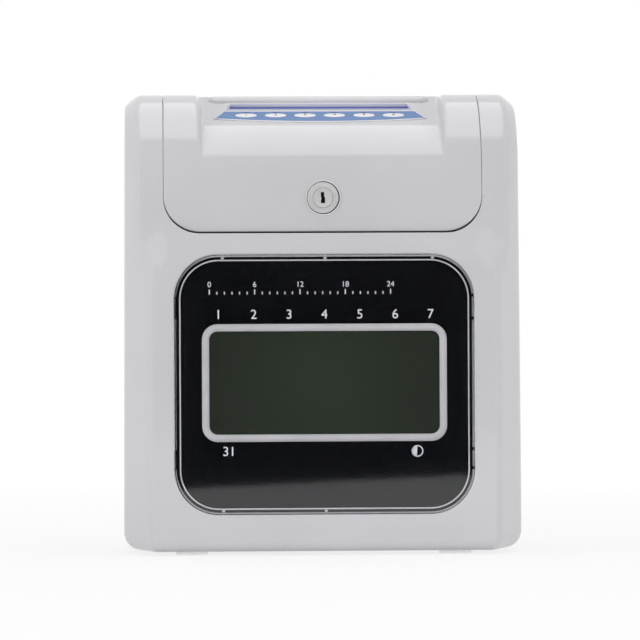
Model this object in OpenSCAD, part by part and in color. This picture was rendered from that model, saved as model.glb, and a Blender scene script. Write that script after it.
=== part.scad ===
// Punch card time clock: a desk-top recorder that prints on a card pushed into its top slot.
// Frame: +Z up, the front faces -Y, +X is the right hand of someone who stands before it.
// The origin lies on the table under the middle of the clock.

/* [Casing] */
// Width of the casing at its foot
body_w = 200; // [196:1:216]
// Height of the casing, feet included
body_h = 232; // [228:1:244]
// Depth from the display lens to the back
body_d = 132; // [130:1:150]
// Thickness of the moulded walls
wall = 2.5; // [2.2:0.1:2.8]
// How far each side leans in between foot and top
side_draft = 1.2; // [0:0.1:1.5]
// Width of the slanting flank beside the display, seen from the front
flank_w = 13; // [11:0.5:15]
// Depth of the same flank, seen from the side
flank_d = 24; // [21:0.5:26]
// How far the door and its columns stand behind the display front
brow_step = 11; // [9:0.5:12]
// Radius of the big bend from the front to the top
top_r = 46; // [44:0.5:48]
// How far the shoulders drop below the top
shoulder_drop = 5.5; // [4:0.5:7]
// Radius of the lower side corners
foot_corner_r = 9; // [6:0.5:11]
// How far the front draws back from the display down to the foot
front_sag = 2.2; // [0:0.1:2.6]

/* [Door] */
// Width of the door
door_w = 159; // [156:1:164]
// Height of the door front, from its lower edge to the top
door_h = 70.8; // [68:0.2:72]
// Radius of the door's lower corners
door_corner_r = 18; // [14:0.5:20]
// Running gap around the door
door_gap = 1; // [0.8:0.1:1.2]
// Depth of the rim that stiffens the door's edge
door_rim = 11; // [9:0.5:11.5]
// Distance from the door front to the hinge
hinge_setback = 75.5; // [74:0.5:78]
// Depth of the hinge line below the top
hinge_r = 9; // [8:0.5:10]
// Radius of the hinge pins
hinge_pin_r = 2; // [1.5:0.1:2.5]
// Width of the scoop in the door's top
scoop_w = 122; // [118:1:126]
// Radius of the nose below the scoop
nose_r = 25; // [22:0.5:27]
// Slope of the keypad floor
ramp_angle = 23.6; // [21:0.2:26]

/* [Card slot] */
// Length of the slot
slot_w = 90.8; // [88:0.2:94]
// Width of the slot
slot_d = 6; // [5.6:0.1:6.4]
// Distance from the door front to the slot
slot_setback = 44; // [43:0.5:45]
// Wall of the slot liner
liner_t = 0.8; // [0.6:0.1:1]
// Length of the card rest behind the slot
ridge_w = 115; // [108:1:118]

/* [Keys] */
// Number of keys
key_count = 6; // [6:1:6]
// Distance between keys
key_pitch = 14.95; // [14:0.05:15.5]
// Length of an oval key
key_w = 11.3; // [10:0.1:12]
// Width of an oval key
key_d = 6; // [5:0.1:6.4]
// Travel of a key
key_travel = 1; // [0.6:0.1:1.2]

/* [Lock] */
// Distance of the lock below the top
lock_drop = 54; // [52:0.5:56]
// Radius of the lock's rim
lock_r = 8.4; // [8:0.1:9]
// Radius of the turning plug
plug_r = 5; // [4.5:0.1:5.4]
// Reach of the cam from the lock's axis
cam_reach = 21; // [20.5:0.5:23]

/* [Display] */
// Width of the clear lens
lens_w = 149; // [140:1:152]
// Height of the clear lens
lens_h = 129; // [122:1:131]
// Height of the lens's middle above the table
lens_z = 85; // [82:0.5:87]
// Corner radius of the lens
lens_r = 22; // [16:0.5:24]
// Thickness of the lens
lens_t = 3; // [2.5:0.1:3.5]
// How far the lens stands proud of the casing
lens_proud = 1.5; // [0.8:0.1:1.8]
// Width of the visible display
view_w = 114.5; // [106:0.5:118]
// Height of the visible display
view_h = 51; // [46:0.5:54]

/* [Printing mechanism] */
// Clear width between the side plates
mech_w = 132; // [131:1:138]
// Thickness of the steel plates
plate_t = 1.5; // [1.2:0.1:2]
// Depth of the printing line below the slot
print_drop = 43; // [42:0.5:45]
// Travel of the print head to either side
head_travel = 28; // [20:1:30]
// Radius of the main guide rod
rod_r = 3; // [2.5:0.1:3.4]
// Radius of the feed rollers
feed_r = 9; // [8:0.1:9.5]
// Radius of the pinch rollers
pinch_r = 7; // [6:0.1:7.4]
// Teeth of the feed gear
gear_teeth = 45; // [40:1:50]
// Teeth of the pinion on the feed motor
pinion_teeth = 18; // [16:1:20]
// Radius of the belt pulleys
pulley_r = 6; // [5:0.1:6.5]

/* [Hidden] */
$fn = 48;

// Clearances: a running fit, a loose fit and a cut that runs past a face
run_gap = 0.05;
fit_gap = 0.3;
past = 1;

// Casing planes
foot_h = 2;
base_t = 3;
base_top = foot_h + base_t;
back_y = body_d / 2;
front_y = lens_proud - body_d / 2;
upper_y = front_y + brow_step;
side_x = body_w / 2;
edge_x = side_x - flank_w;
brow_x = edge_x + flank_w * brow_step / flank_d;
flat_x = lens_w / 2 + 2;
top_cy = upper_y + top_r;
top_cz = body_h - top_r;
side_y = front_y + flank_d;
side_top = body_h - shoulder_drop;
side_r = top_cy - side_y;
lens_top = lens_z + lens_h / 2;
brow_drop = 6;
brow_rise = 28;
flank_brow_drop = 17;
flank_brow_rise = 32;
brow_low = lens_top - brow_drop;
brow_high = brow_low + brow_rise;
flank_brow_low = lens_top - flank_brow_drop;
flank_brow_high = flank_brow_low + flank_brow_rise;
foot_edge_r = 5;
back_edge_r = 6;
sag_top = 70;
hinge_y = upper_y + hinge_setback;
hinge_z = body_h - hinge_r;
seam_y = hinge_y + hinge_r + door_gap + fit_gap;

// Door, scoop and keypad floor
door_z = body_h - door_h;
opening_x = door_w / 2 + door_gap;
column_t = 2;
nose_angle = 40;
floor_r = 70;
nose_cy = upper_y + nose_r;
nose_rise = 1.4;
nose_cz = top_cz + nose_rise;
floor_cy = nose_cy + (floor_r - nose_r) * sin(nose_angle);
floor_cz = nose_cz - (floor_r - nose_r) * cos(nose_angle);
ramp_y = floor_cy - floor_r * sin(ramp_angle);
ramp_z = floor_cz + floor_r * cos(ramp_angle);
ramp_end_drop = 0.6;
ramp_end_z = body_h - ramp_end_drop;
ramp_end_y = ramp_y + (ramp_end_z - ramp_z) / tan(ramp_angle);
slot_y = upper_y + slot_setback;
card_y = slot_y + slot_d / 2;
slot_lip_z = ramp_z + (slot_y - ramp_y) * tan(ramp_angle);
slot_back_z = ramp_z + (slot_y + slot_d - ramp_y) * tan(ramp_angle);
liner_l = 13;
liner_low = slot_lip_z - liner_l;
ridge_gap = 0.6;
ridge_y = slot_y + slot_d + liner_t + ridge_gap;
ridge_d = 11;
ridge_root = 0.6;
ridge_z = slot_back_z - ridge_root;
ridge_drop = 0.1;
ridge_top = body_h - ridge_drop;
ridge_corner_r = 5;

// Keys, in the plane of the keypad floor
key_mid = 8.6;
key_proud = 1.2;
key_flange = 1;
key_low = wall + fit_gap + key_flange;
key_flange_w = 1;
switch_play = 0.2;
switch_top = key_low + key_travel + switch_play;
switch_h = 3.4;
switch_w = 6;
key_board_top = switch_top + switch_h;
key_board_t = 1.6;
key_board_end = 15.5;
key_board_w = (key_count - 1) * key_pitch + 2 * key_board_end;
key_board_d = 10.4;
key_post_r = 2;
key_post_inset = 3;
key_post_x = key_board_w / 2 - key_post_inset;
key_post_y = key_board_d / 2 - key_post_inset;
overlay_t = 0.4;
overlay_seat = 0.02;
overlay_flare = 4.5;
overlay_taper = 4;
overlay_w_front = key_board_w + overlay_flare;
overlay_w_back = key_board_w - overlay_taper;
overlay_corner_r = 2;
overlay_front = 1.8;
overlay_back = 14.6;
overlay_bow = 1.6;

// Lock
lock_z = body_h - lock_drop;
lock_proud = 1.6;
barrel_r = 7.5;
plug_proud = 1.8;
lock_l = 12.5;
cam_y = upper_y + lock_l;
cam_t = 1.5;
cam_w = 8;
cam_hub_r = 7;
cam_screw_r = 3.2;
cam_screw_h = 2;
cam_gap = 1;
rim_end = cam_y - cam_gap;
nut_t = 4;
nut_w = 4;
nut_gap = 0.1;

// Display stack, from the lens inwards
lens_back = lens_t - body_d / 2;
mask_t = 0.4;
mask_inset = 3.25;
pocket_y = lens_back + mask_t;
pad_t = 2;
pad_rim = 2;
lcd_gap = 0.1;
lcd_y = pocket_y + lcd_gap;
lcd_t = 2.8;
lcd_side = 4;
lcd_ledge = 5;
lcd_w = view_w + 2 * lcd_side;
lcd_h = view_h + 2 * lcd_ledge;
frame_t = 4;
light_box_d = 6;
frame_back = lcd_y + lcd_t + light_box_d;
board_gap = 3;
board_y = frame_back + board_gap;
board_t = 1.6;
board_w = 147;
board_h = 96;
board_drop = 9;
board_z = lens_z - board_drop;
board_edge = 4.5;
board_screw_x = board_w / 2 - board_edge;
board_screw_z = board_h / 2 - board_edge;
board_post_r = 3.5;

// Printing mechanism
plate_x = mech_w / 2;
print_z = slot_lip_z - print_drop;
deck_rise = 6;
deck_z = print_z + deck_rise;
deck_t = 1.5;
deck_window_d = 8;
plate_rise = 16;
plate_top = deck_z + plate_rise;
guide_t = 0.8;
chute = 1.6;
guide_side = 0.6;
guide_w = slot_w + 2 * guide_side;
guide_low = 34;
guide_gap = 8;
guide_top = liner_low - guide_gap;
guide_front_y = card_y - chute / 2 - guide_t;
guide_back_y = card_y + chute / 2;
head_setback = 18;
head_y = card_y - head_setback;
rod_drop = 11;
small_rod_r = 2;
small_rod_rise = 1;
carriage_w = 24;
carriage_d = 12;
carriage_front = head_y - carriage_d / 2;
carriage_back = head_y + carriage_d / 2;
carriage_drop = 17;
carriage_rise = 4.8;
feed_drop = 42;
feed_z = print_z - feed_drop;
card_t = 0.4;
feed_y = card_y + card_t / 2 + feed_r;
pinch_y = card_y - card_t / 2 - pinch_r;
shaft_r = 3;
pinch_shaft_r = 2.5;
roller_x = 25;
roller_w = 14;
bush_r = 5;
bush_flange_t = 1.2;
bush_flange_w = 1.5;
shaft_end = 2;
gear_module = 0.8;
gear_pitch_r = gear_module * gear_teeth / 2;
pinion_pitch_r = gear_module * pinion_teeth / 2;
gear_angle = -30;
gear_gap = 2.6;
gear_x = plate_x + plate_t + gear_gap;
gear_w = 6;
motor_y = feed_y + (gear_pitch_r + pinion_pitch_r) * cos(gear_angle);
motor_z = feed_z + (gear_pitch_r + pinion_pitch_r) * sin(gear_angle);
feed_can_r = 17.5;
feed_can_l = 20;
motor_shaft_r = 1.5;
motor_shaft_l = 9;
belt_drop = 39;
belt_z = print_z - belt_drop;
belt_end = 20;
belt_x = head_travel + belt_end;
belt_w = 5;
belt_t = 1.3;
belt_offset = 0.2;
belt_y = head_y + belt_offset;
cross_setback = 6.7;
cross_y = belt_y - cross_setback;
cross_half = 20;
cross_low = belt_z - cross_half;
cross_top = belt_z + cross_half;
carriage_can_r = 13;
carriage_can_l = 13;
arm_w = 5.5;
arm_gap = 4.5;
cartridge_x = carriage_w / 2 + head_travel + arm_gap + arm_w;
cartridge_d = 21.5;
cartridge_h = 12;
ribbon_reach = 13;
cartridge_back = card_y - ribbon_reach;
cartridge_front = cartridge_back - cartridge_d;
cartridge_top = deck_z + deck_t + cartridge_h;
cover_t = 1.2;
ribbon_gap = 3.2;
ribbon_y = card_y - ribbon_gap;
ribbon_t = 0.3;
ribbon_w = 11;
ribbon_low = print_z - ribbon_w / 2;
ribbon_high = print_z + ribbon_w / 2;
knob_inset_x = 20;
knob_inset_y = 8;
knob_x = knob_inset_x - cartridge_x;
knob_y = cartridge_back - knob_inset_y;
knob_r = 6;
knob_h = 3.6;
knob_shaft_r = 2;
knob_seat = 3;
plate_lip = 1.5;
plate_front = cartridge_front - plate_lip;
plate_edge = 2;
plate_rear = motor_y + feed_can_r + plate_edge;
plate_toe = head_y - 10;
plate_step = guide_back_y + 19.2;

// Screws and bosses
screw_r = 1.5;
screw_head_r = 2.9;
screw_head_h = 1.9;
screw_play = 0.1;
head_play = 0.2;
boss_r = 4.5;
web_t = 2;
base_boss_h = 14;
base_screw_l = 11;
seam_screw_l = 15;
board_screw_l = 7;
hinge_boss_r = 6;
hinge_boss_l = 6;
pin_grip = 5;
base_screw_in = 14;
seam_screw_in = 10.5;
seam_low = 34;
base_screw_x = side_x - base_screw_in;
base_screw_y = [side_y + 8, back_y - base_screw_in];
seam_screw_x = side_x - seam_screw_in;
seam_screw_z = [seam_low, side_top - 15];
seam_boss_l = 16;
seam_floor = 4;
foot_flange = 12;
flange_front = plate_toe + plate_edge;
flange_rear = plate_rear - 8.5;
flange_end = 8;
foot_screw_y = [flange_front + flange_end, flange_rear - flange_end];
foot_screw_x = plate_x - foot_flange / 2;

// Colours
shell_white = [0.84, 0.83, 0.86];
key_white = [0.93, 0.93, 0.95];
keypad_blue = [0.36, 0.55, 0.78];
liner_blue = [0.45, 0.49, 0.70];
panel_black = [0.06, 0.06, 0.07];
display_green = [0.18, 0.20, 0.16];
metal_grey = [0.72, 0.73, 0.75];
dark_grey = [0.2, 0.2, 0.22];
board_green = [0.12, 0.36, 0.22];
clear_grey = [0.75, 0.78, 0.82, 0.35];

// Points of an arc, from one angle to another
function arc(cx, cy, r, from, to, steps) =
    [for (i = [0 : steps]) let (a = from + (to - from) * i / steps) [cx + r * cos(a), cy + r * sin(a)]];

// A soft step from 0 to 1
function ease(u) = u * u * (3 - 2 * u);

// Outline of the casing from the side, as points (Y, Z), drawn in by t.
// low and up are the front planes under and over the brow; r, cy and cz give the top bend.
function section(low, up, from, to, r, cy, cz, t) =
    let (foot = t > 0 ? foot_h - past : foot_h,
         edge = t > 0 ? [[low + front_sag + t, foot]]
                      : arc(low + front_sag + foot_edge_r, foot + foot_edge_r, foot_edge_r, 270, 180, 3),
         sag_low = foot_h + foot_edge_r)
    concat(
        [[back_y - t, foot]],
        edge,
        [for (i = [1 : 3]) [low + t + front_sag * pow(1 - i / 3, 2), sag_low + (sag_top - sag_low) * i / 3]],
        [for (i = [0 : 6]) [low + t + (up - low) * ease(i / 6), from + (to - from) * i / 6]],
        arc(cy, cz, r - t, 180, 90, 9),
        arc(back_y - back_edge_r, cz + r - back_edge_r, back_edge_r - t, 90, 0, 3));

// Cross sections of the right half of the casing, from the middle outwards: X and outline
function stations(t) = [
    [flat_x, section(front_y, upper_y, brow_low, brow_high, top_r, top_cy, top_cz, t)],
    [edge_x - t / 2, section(front_y, upper_y, flank_brow_low, flank_brow_high, top_r, top_cy, top_cz, t)],
    [brow_x - t / 2, section(upper_y, upper_y, flank_brow_low, flank_brow_high, top_r, top_cy, top_cz, t)],
    [side_x - t, section(side_y, side_y, flank_brow_low, flank_brow_high, side_r, top_cy,
                         side_top - side_r, t)]];

// A skin stretched over the cross sections of both halves, leaning in towards the top
module casing_loft(t) {
    half = stations(t);
    last = len(half) - 1;
    rows = concat([for (i = [last : -1 : 0]) [-1, half[i]]], [for (i = [0 : last]) [1, half[i]]]);
    n = len(half[0][1]);
    points = [for (row = rows) for (p = row[1][1])
              [row[0] * (row[1][0] - side_draft * p[1] / body_h), p[0], p[1]]];
    ends = [[for (j = [n - 1 : -1 : 0]) j], [for (j = [0 : n - 1]) (len(rows) - 1) * n + j]];
    skin = [for (i = [0 : len(rows) - 2]) for (j = [0 : n - 1])
            let (a = i * n + j, b = i * n + (j + 1) % n)
            each [[a, b, b + n], [a, b + n, a + n]]];
    polyhedron(points, concat(ends, skin), convexity = 6);
}

// The casing as a solid, with its lower side corners rounded, drawn in by t
module casing_solid(t) {
    w = body_w - 2 * t;
    r = foot_corner_r - t;
    low = foot_h + t;
    intersection() {
        casing_loft(t);
        prism_y(-body_d, body_d) {
            translate([-w / 2, low + r]) square([w, body_h]);
            translate([-w / 2 + r, t > 0 ? foot_h - 2 * past : low]) square([w - 2 * r, r + t + 3 * past]);
            for (s = [-1, 1]) translate([s * (w / 2 - r), low + r]) circle(r);
        }
    }
}

// Extrusions of a flat shape along X (drawn as Y, Z) and along Y (drawn as X, Z)
module prism_x(from, to) {
    translate([from, 0, 0]) rotate([90, 0, 90]) linear_extrude(to - from) children();
}

module prism_y(from, to) {
    translate([0, to, 0]) rotate([90, 0, 0]) linear_extrude(to - from) children();
}

// Round bars along X and Y, and a plain block between two corners
module bar_x(from, to, y, z, r) {
    translate([from, y, z]) rotate([0, 90, 0]) cylinder(h = to - from, r = r);
}

module bar_y(from, to, x, z, r) {
    translate([x, to, z]) rotate([90, 0, 0]) cylinder(h = to - from, r = r);
}

module block(from, to) { translate(from) cube(to - from); }

// A rectangle about the middle of the display, drawn as (X, Z) and made a plate along Y
module display_plate(from, to, w, h) {
    prism_y(from, to) translate([0, lens_z]) square([w, h], center = true);
}

// Both sides alike
module both_sides() { for (s = [0, 1]) mirror([s, 0, 0]) children(); }

// A rectangle with round corners, about its middle
module round_rect(w, h, r) {
    square([w - 2 * r, h], center = true);
    square([w, h - 2 * r], center = true);
    for (sx = [-1, 1]) for (sy = [-1, 1]) translate([sx * (w / 2 - r), sy * (h / 2 - r)]) circle(r);
}

// An oval with straight sides
module oval(w, d) {
    square([w - d, d], center = true);
    for (s = [-1, 1]) translate([s * (w - d) / 2, 0]) circle(d / 2);
}

// Outline of the lens, grown by t, drawn as (X, Z)
module lens_outline(t) {
    translate([0, lens_z]) round_rect(lens_w + 2 * t, lens_h + 2 * t, lens_r + t);
}

// Front outline of the door, grown by t, open at the top
module door_outline(t) {
    w = door_w + 2 * t;
    r = door_corner_r + t;
    low = door_z - t;
    translate([-w / 2, low + r]) square([w, door_h + 3 * past]);
    translate([-w / 2 + r, low]) square([w - 2 * r, r + past]);
    for (s = [-1, 1]) translate([s * (w / 2 - r), low + r]) circle(r);
}

// Side outline of the door's hood, drawn in by t and ending at the line end_y
module hood_shape(t, end_y) {
    translate([upper_y + t, door_z - past]) square([end_y - upper_y - t, top_cz - door_z + past]);
    intersection() {
        translate([top_cy, top_cz]) circle(top_r - t);
        translate([upper_y - past, top_cz]) square([top_r + past, top_r + past]);
    }
    translate([top_cy, top_cz - past]) square([end_y - top_cy, top_r - t + past]);
}

// Side outline of the space above the scoop, whose floor is sunk by t
module scoop_shape(t) {
    floor_line = concat(
        arc(nose_cy, nose_cz, nose_r - t, 180, 90 + nose_angle, 8),
        arc(floor_cy, floor_cz, floor_r - t, 90 + nose_angle, 90 + ramp_angle, 5),
        [[ramp_end_y + t * sin(ramp_angle), ramp_end_z - t * cos(ramp_angle)]]);
    high = body_h + top_r;
    ahead = upper_y - nose_r;
    polygon(concat(floor_line, [[ramp_end_y + t * sin(ramp_angle), high], [ahead, high], [ahead, nose_cz]]));
}

// The keypad floor's own frame: X to the right, Y up the slope, Z out of the floor
module on_ramp() { translate([0, ramp_y, ramp_z]) rotate([ramp_angle, 0, 0]) children(); }
function key_x(i) = (i - (key_count - 1) / 2) * key_pitch;

// A boss along Y that is tied to the side wall by a web
module seam_boss(from, to, z) {
    bar_y(from, to, seam_screw_x, z, boss_r);
    block([seam_screw_x, from, z - web_t / 2],
          [side_x - side_draft * z / body_h - wall / 2, to, z + web_t / 2]);
}

// A boss up from the base plate that is tied to the side wall by a web
module base_boss(y) {
    translate([base_screw_x, y, base_top]) cylinder(h = base_boss_h, r = boss_r);
    block([base_screw_x, y - web_t / 2, foot_h + foot_corner_r],
          [side_x - side_draft - wall / 2, y + web_t / 2, base_top + base_boss_h]);
}

// A screw with a round head: its shank points along +Z from the head's seat
module screw(length) {
    translate([0, 0, -screw_head_h]) {
        cylinder(h = screw_head_h, r = screw_head_r);
        cylinder(h = screw_head_h + length, r = screw_r);
    }
}

// Whatever stands at the four corners of the main board
module board_corners() {
    for (x = [-1, 1]) for (z = [-1, 1])
        translate([x * board_screw_x, 0, board_z + z * board_screw_z]) children();
}

module front_case() {
    color(shell_white) difference() {
        union() {
            intersection() {
                difference() {
                    casing_solid(0);
                    casing_solid(wall);
                }
                block([-body_w, -body_d, 0], [body_w, seam_y, 2 * body_h]);
            }
            intersection() {
                casing_solid(wall / 2);
                union() {
                    prism_y(upper_y - brow_step, rim_end) difference() {
                        door_outline(door_gap + column_t);
                        door_outline(door_gap);
                    }
                    both_sides() block([opening_x, upper_y, door_z + door_corner_r],
                                       [opening_x + column_t, seam_y, body_h]);
                }
            }
            prism_y(front_y + wall / 2, pocket_y + pad_t) lens_outline(pad_rim);
            board_corners() bar_y(pocket_y + pad_t - past, board_y, 0, 0, board_post_r);
            both_sides() {
                bar_x(opening_x, opening_x + hinge_boss_l, hinge_y, hinge_z, hinge_boss_r);
                base_boss(base_screw_y[0]);
                for (z = seam_screw_z) seam_boss(seam_y - seam_boss_l, seam_y, z);
            }
        }
        prism_y(-body_d, seam_y + past) door_outline(door_gap);
        prism_y(-body_d, pocket_y) lens_outline(fit_gap);
        display_plate(-body_d, board_y, lcd_w + 2 * fit_gap, lcd_h + 2 * fit_gap);
        board_corners() bar_y(board_y - board_screw_l - past, board_y + past, 0, 0, screw_r);
        both_sides() {
            bar_x(opening_x - past, opening_x + pin_grip, hinge_y, hinge_z, hinge_pin_r);
            translate([base_screw_x, base_screw_y[0], 0]) cylinder(h = base_top + base_screw_l, r = screw_r);
            for (z = seam_screw_z)
                bar_y(seam_y + seam_floor - seam_screw_l - 2 * past, seam_y + past, seam_screw_x, z, screw_r);
        }
    }
}

// Back cover: vents high up, two keyholes for wall screws and the supply socket low down
keyhole_x = 50;
keyhole_z = 186;
keyhole_r = 4.5;
keyhole_slot_r = 2.3;
keyhole_rise = 9;
inlet_r = 6.5;
inlet_half = 8;
inlet_clear = 6;
inlet_x = plate_x - foot_flange - inlet_half - inlet_clear;
inlet_z = 26;
vent_count = 9;
vent_pitch = 8;
vent_w = 2.5;
vent_h = 34;
vent_z = 118;

module rear_case() {
    color(shell_white) difference() {
        union() {
            intersection() {
                difference() {
                    casing_solid(0);
                    casing_solid(wall);
                }
                block([-body_w, seam_y, 0], [body_w, body_d, 2 * body_h]);
            }
            both_sides() {
                base_boss(base_screw_y[1]);
                for (z = seam_screw_z) seam_boss(seam_y, back_y - wall / 2, z);
            }
        }
        both_sides() {
            translate([base_screw_x, base_screw_y[1], 0]) cylinder(h = base_top + base_screw_l, r = screw_r);
            for (z = seam_screw_z) {
                bar_y(seam_y - past, seam_y + seam_floor + past, seam_screw_x, z, screw_r);
                bar_y(seam_y + seam_floor, body_d, seam_screw_x, z, screw_head_r + fit_gap);
            }
            bar_y(back_y - wall - past, body_d, keyhole_x, keyhole_z, keyhole_r);
            bar_y(back_y - wall - past, body_d, keyhole_x, keyhole_z + keyhole_rise, keyhole_slot_r);
            block([keyhole_x - keyhole_slot_r, back_y - wall - past, keyhole_z],
                  [keyhole_x + keyhole_slot_r, body_d, keyhole_z + keyhole_rise]);
        }
        for (i = [0 : vent_count - 1])
            prism_y(back_y - wall - past, body_d)
                translate([(i - (vent_count - 1) / 2) * vent_pitch, vent_z]) rotate(90) oval(vent_h, vent_w);
        bar_y(back_y - wall - past, body_d, inlet_x, inlet_z, inlet_r);
    }
}

// Floor of the casing; its edge follows the walls with a loose gap
module base_plate() {
    color(shell_white) difference() {
        intersection() {
            casing_solid(wall + fit_gap);
            block([-body_w, -body_d, foot_h], [body_w, body_d, base_top]);
        }
        both_sides() for (y = base_screw_y) translate([base_screw_x, y, 0]) {
            cylinder(h = foot_h + screw_head_h + head_play, r = screw_head_r + fit_gap);
            cylinder(h = 2 * base_top, r = screw_r + screw_play);
        }
        both_sides() for (y = foot_screw_y)
            translate([foot_screw_x, y, 0]) cylinder(h = 2 * base_top, r = screw_r);
    }
}

foot_r = 8;
foot_inset_x = 34;
foot_inset_y = 24;
foot_x = side_x - foot_inset_x;
foot_y = back_y - foot_inset_y;

module rubber_feet() {
    color(dark_grey) for (x = [-1, 1]) for (y = [-1, 1])
        translate([x * foot_x, y * foot_y, 0]) cylinder(h = foot_h, r = foot_r);
}

// Four screws through the base plate and four through the back cover
module case_screws() {
    color(metal_grey) both_sides() {
        for (y = base_screw_y)
            translate([base_screw_x, y, foot_h + screw_head_h + head_play]) screw(base_screw_l);
        for (z = seam_screw_z)
            translate([seam_screw_x, seam_y + seam_floor, z]) rotate([90, 0, 0]) screw(seam_screw_l);
    }
}

// Two steel pins, fixed in the columns, on which the door swings
module hinge_pins() {
    color(metal_grey) both_sides()
        bar_x(door_w / 2 - pin_grip, opening_x + pin_grip, hinge_y, hinge_z, hinge_pin_r);
}

module display_lens() {
    color(clear_grey) prism_y(-body_d / 2, lens_back) lens_outline(0);
}

// Printed sheet that lies against the back of the lens, with a window for the display
module display_mask() {
    color(panel_black) prism_y(lens_back, pocket_y) difference() {
        lens_outline(-mask_inset);
        translate([0, lens_z]) square([view_w, view_h], center = true);
    }
}

module lcd_glass() {
    color(display_green) display_plate(lcd_y, lcd_y + lcd_t, lcd_w, lcd_h);
}

// Light box that presses the display into the window of the front wall
module lcd_frame() {
    color(dark_grey) difference() {
        display_plate(pocket_y + pad_t, frame_back, lcd_w + 2 * frame_t, lcd_h + 2 * frame_t);
        display_plate(pocket_y, lcd_y + lcd_t, lcd_w + fit_gap, lcd_h + fit_gap);
    }
}

module main_board() {
    color(board_green) difference() {
        prism_y(board_y, board_y + board_t) translate([0, board_z]) square([board_w, board_h], center = true);
        board_corners() bar_y(board_y - past, board_y + 2 * board_t, 0, 0, screw_r + screw_play);
    }
}

// Packages on the back of the main board: X, Z offset from its middle, width, height, thickness
chips = [[-30, 14, 14, 14, 2], [8, 12, 22, 8, 3], [40, 22, 10, 16, 4], [-52, -18, 8, 30, 6],
         [0, -26, 34, 6, 7], [46, -20, 12, 12, 5]];

module board_chips() {
    color(dark_grey) for (c = chips)
        block([c[0] - c[2] / 2, board_y + board_t, board_z + c[1] - c[3] / 2],
              [c[0] + c[2] / 2, board_y + board_t + c[4], board_z + c[1] + c[3] / 2]);
}

buzzer_x = -54;
buzzer_z = 26;
buzzer_r = 7;
buzzer_h = 7;
buzzer_hole_r = 1.2;
buzzer_hole_d = 2;

module buzzer() {
    low = board_y + board_t;
    z = board_z + buzzer_z;
    color(dark_grey) difference() {
        bar_y(low, low + buzzer_h, buzzer_x, z, buzzer_r);
        bar_y(low + buzzer_h - buzzer_hole_d, low + 2 * buzzer_h, buzzer_x, z, buzzer_hole_r);
    }
}

// Ears of the two motors: distance of their screws, width, and the round bosses between can and plate
feed_ear = feed_can_r + 3.5;
feed_ear_w = 8;
feed_boss_r = 10;
feed_nose_r = 5.5;
carriage_ear = carriage_can_r + 2.5;
carriage_ear_w = 7;
carriage_boss_r = 8;
carriage_nose_r = 5;
feed_screw_z = [motor_z - feed_ear, motor_z + feed_ear];
carriage_screw_z = [belt_z - carriage_ear, belt_z + carriage_ear];

// Screws of the board, of the side plates' feet and of the two motors
module inner_screws() {
    color(metal_grey) {
        board_corners() translate([0, board_y + board_t, 0])
            rotate([90, 0, 0]) screw(board_t + board_screw_l);
        both_sides() for (y = foot_screw_y)
            translate([foot_screw_x, y, base_top + plate_t])
                rotate([180, 0, 0]) screw(plate_t + base_t - fit_gap);
        for (z = feed_screw_z)
            translate([plate_x + plate_t, motor_y, z]) rotate([0, -90, 0]) screw(2 * plate_t);
        for (z = carriage_screw_z)
            translate([belt_x, cross_y + plate_t, z]) rotate([90, 0, 0]) screw(2 * plate_t);
    }
}

cell_r = 6.2;
cell_l = 46;
tray_t = 1;
tray_h = 8;
tray_w = 2 * (cell_r + tray_t) + 1;
tray_l = cell_l + 4 * tray_t;
battery_x = plate_x + plate_t + 2 * fit_gap;
battery_y = base_screw_y[1] - boss_r - fit_gap - tray_l;

// Back-up cell in an open tray on the base plate, between the right cheek and the side wall
module battery_pack() {
    color(liner_blue) difference() {
        block([battery_x, battery_y, base_top], [battery_x + tray_w, battery_y + tray_l, base_top + tray_h]);
        block([battery_x + tray_t, battery_y + tray_t, base_top + tray_t],
              [battery_x + tray_w - tray_t, battery_y + tray_l - tray_t, base_top + 2 * tray_h]);
    }
    color(metal_grey) bar_y(battery_y + 2 * tray_t, battery_y + tray_l - 2 * tray_t, battery_x + tray_w / 2,
                            base_top + tray_t + cell_r, cell_r);
}

// Supply socket: a block behind the back wall with a round nose in the wall and a centre pin
inlet_l = 12;
inlet_bore_r = 4.2;
inlet_pin_r = 1;
inlet_sunk = 0.5;
inlet_play = 0.1;

module dc_inlet() {
    color(dark_grey) {
        difference() {
            union() {
                bar_y(back_y - wall - past, back_y - inlet_sunk, inlet_x, inlet_z, inlet_r - inlet_play);
                block([inlet_x - inlet_half, back_y - wall - inlet_l, inlet_z - inlet_half],
                      [inlet_x + inlet_half, back_y - wall, inlet_z + inlet_half]);
            }
            bar_y(back_y - inlet_l, body_d, inlet_x, inlet_z, inlet_bore_r);
        }
        bar_y(back_y - inlet_l - past, back_y - wall - past, inlet_x, inlet_z, inlet_pin_r);
    }
}

// Steel cheek of the mechanism: one outline for both sides, drawn as (Y, Z), with three lightening holes
cheek_hole_r = 9;
cheek_hole_pitch = 26;

module plate_outline() {
    difference() {
        polygon([[plate_toe, base_top], [plate_rear, base_top], [plate_rear, motor_z + feed_ear],
                 [plate_step, print_z - rod_drop], [plate_step, plate_top], [plate_front, plate_top],
                 [plate_front, print_z], [plate_toe, print_z - rod_drop]]);
        translate([feed_y, feed_z]) circle(bush_r);
        translate([pinch_y, feed_z]) circle(bush_r);
        translate([head_y, print_z - rod_drop]) circle(rod_r);
        translate([head_y, print_z + small_rod_rise]) circle(small_rod_r);
        for (i = [1 : 3]) translate([guide_back_y + cheek_hole_r, base_top + cheek_hole_pitch * i])
            circle(cheek_hole_r);
    }
}

module side_plate() {
    prism_x(plate_x, plate_x + plate_t) plate_outline();
    difference() {
        block([plate_x - foot_flange, flange_front, base_top],
              [plate_x + plate_t / 2, flange_rear, base_top + plate_t]);
        for (y = foot_screw_y) translate([foot_screw_x, y, base_top - past])
            cylinder(h = 4 * plate_t, r = screw_r + screw_play);
    }
}

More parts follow.
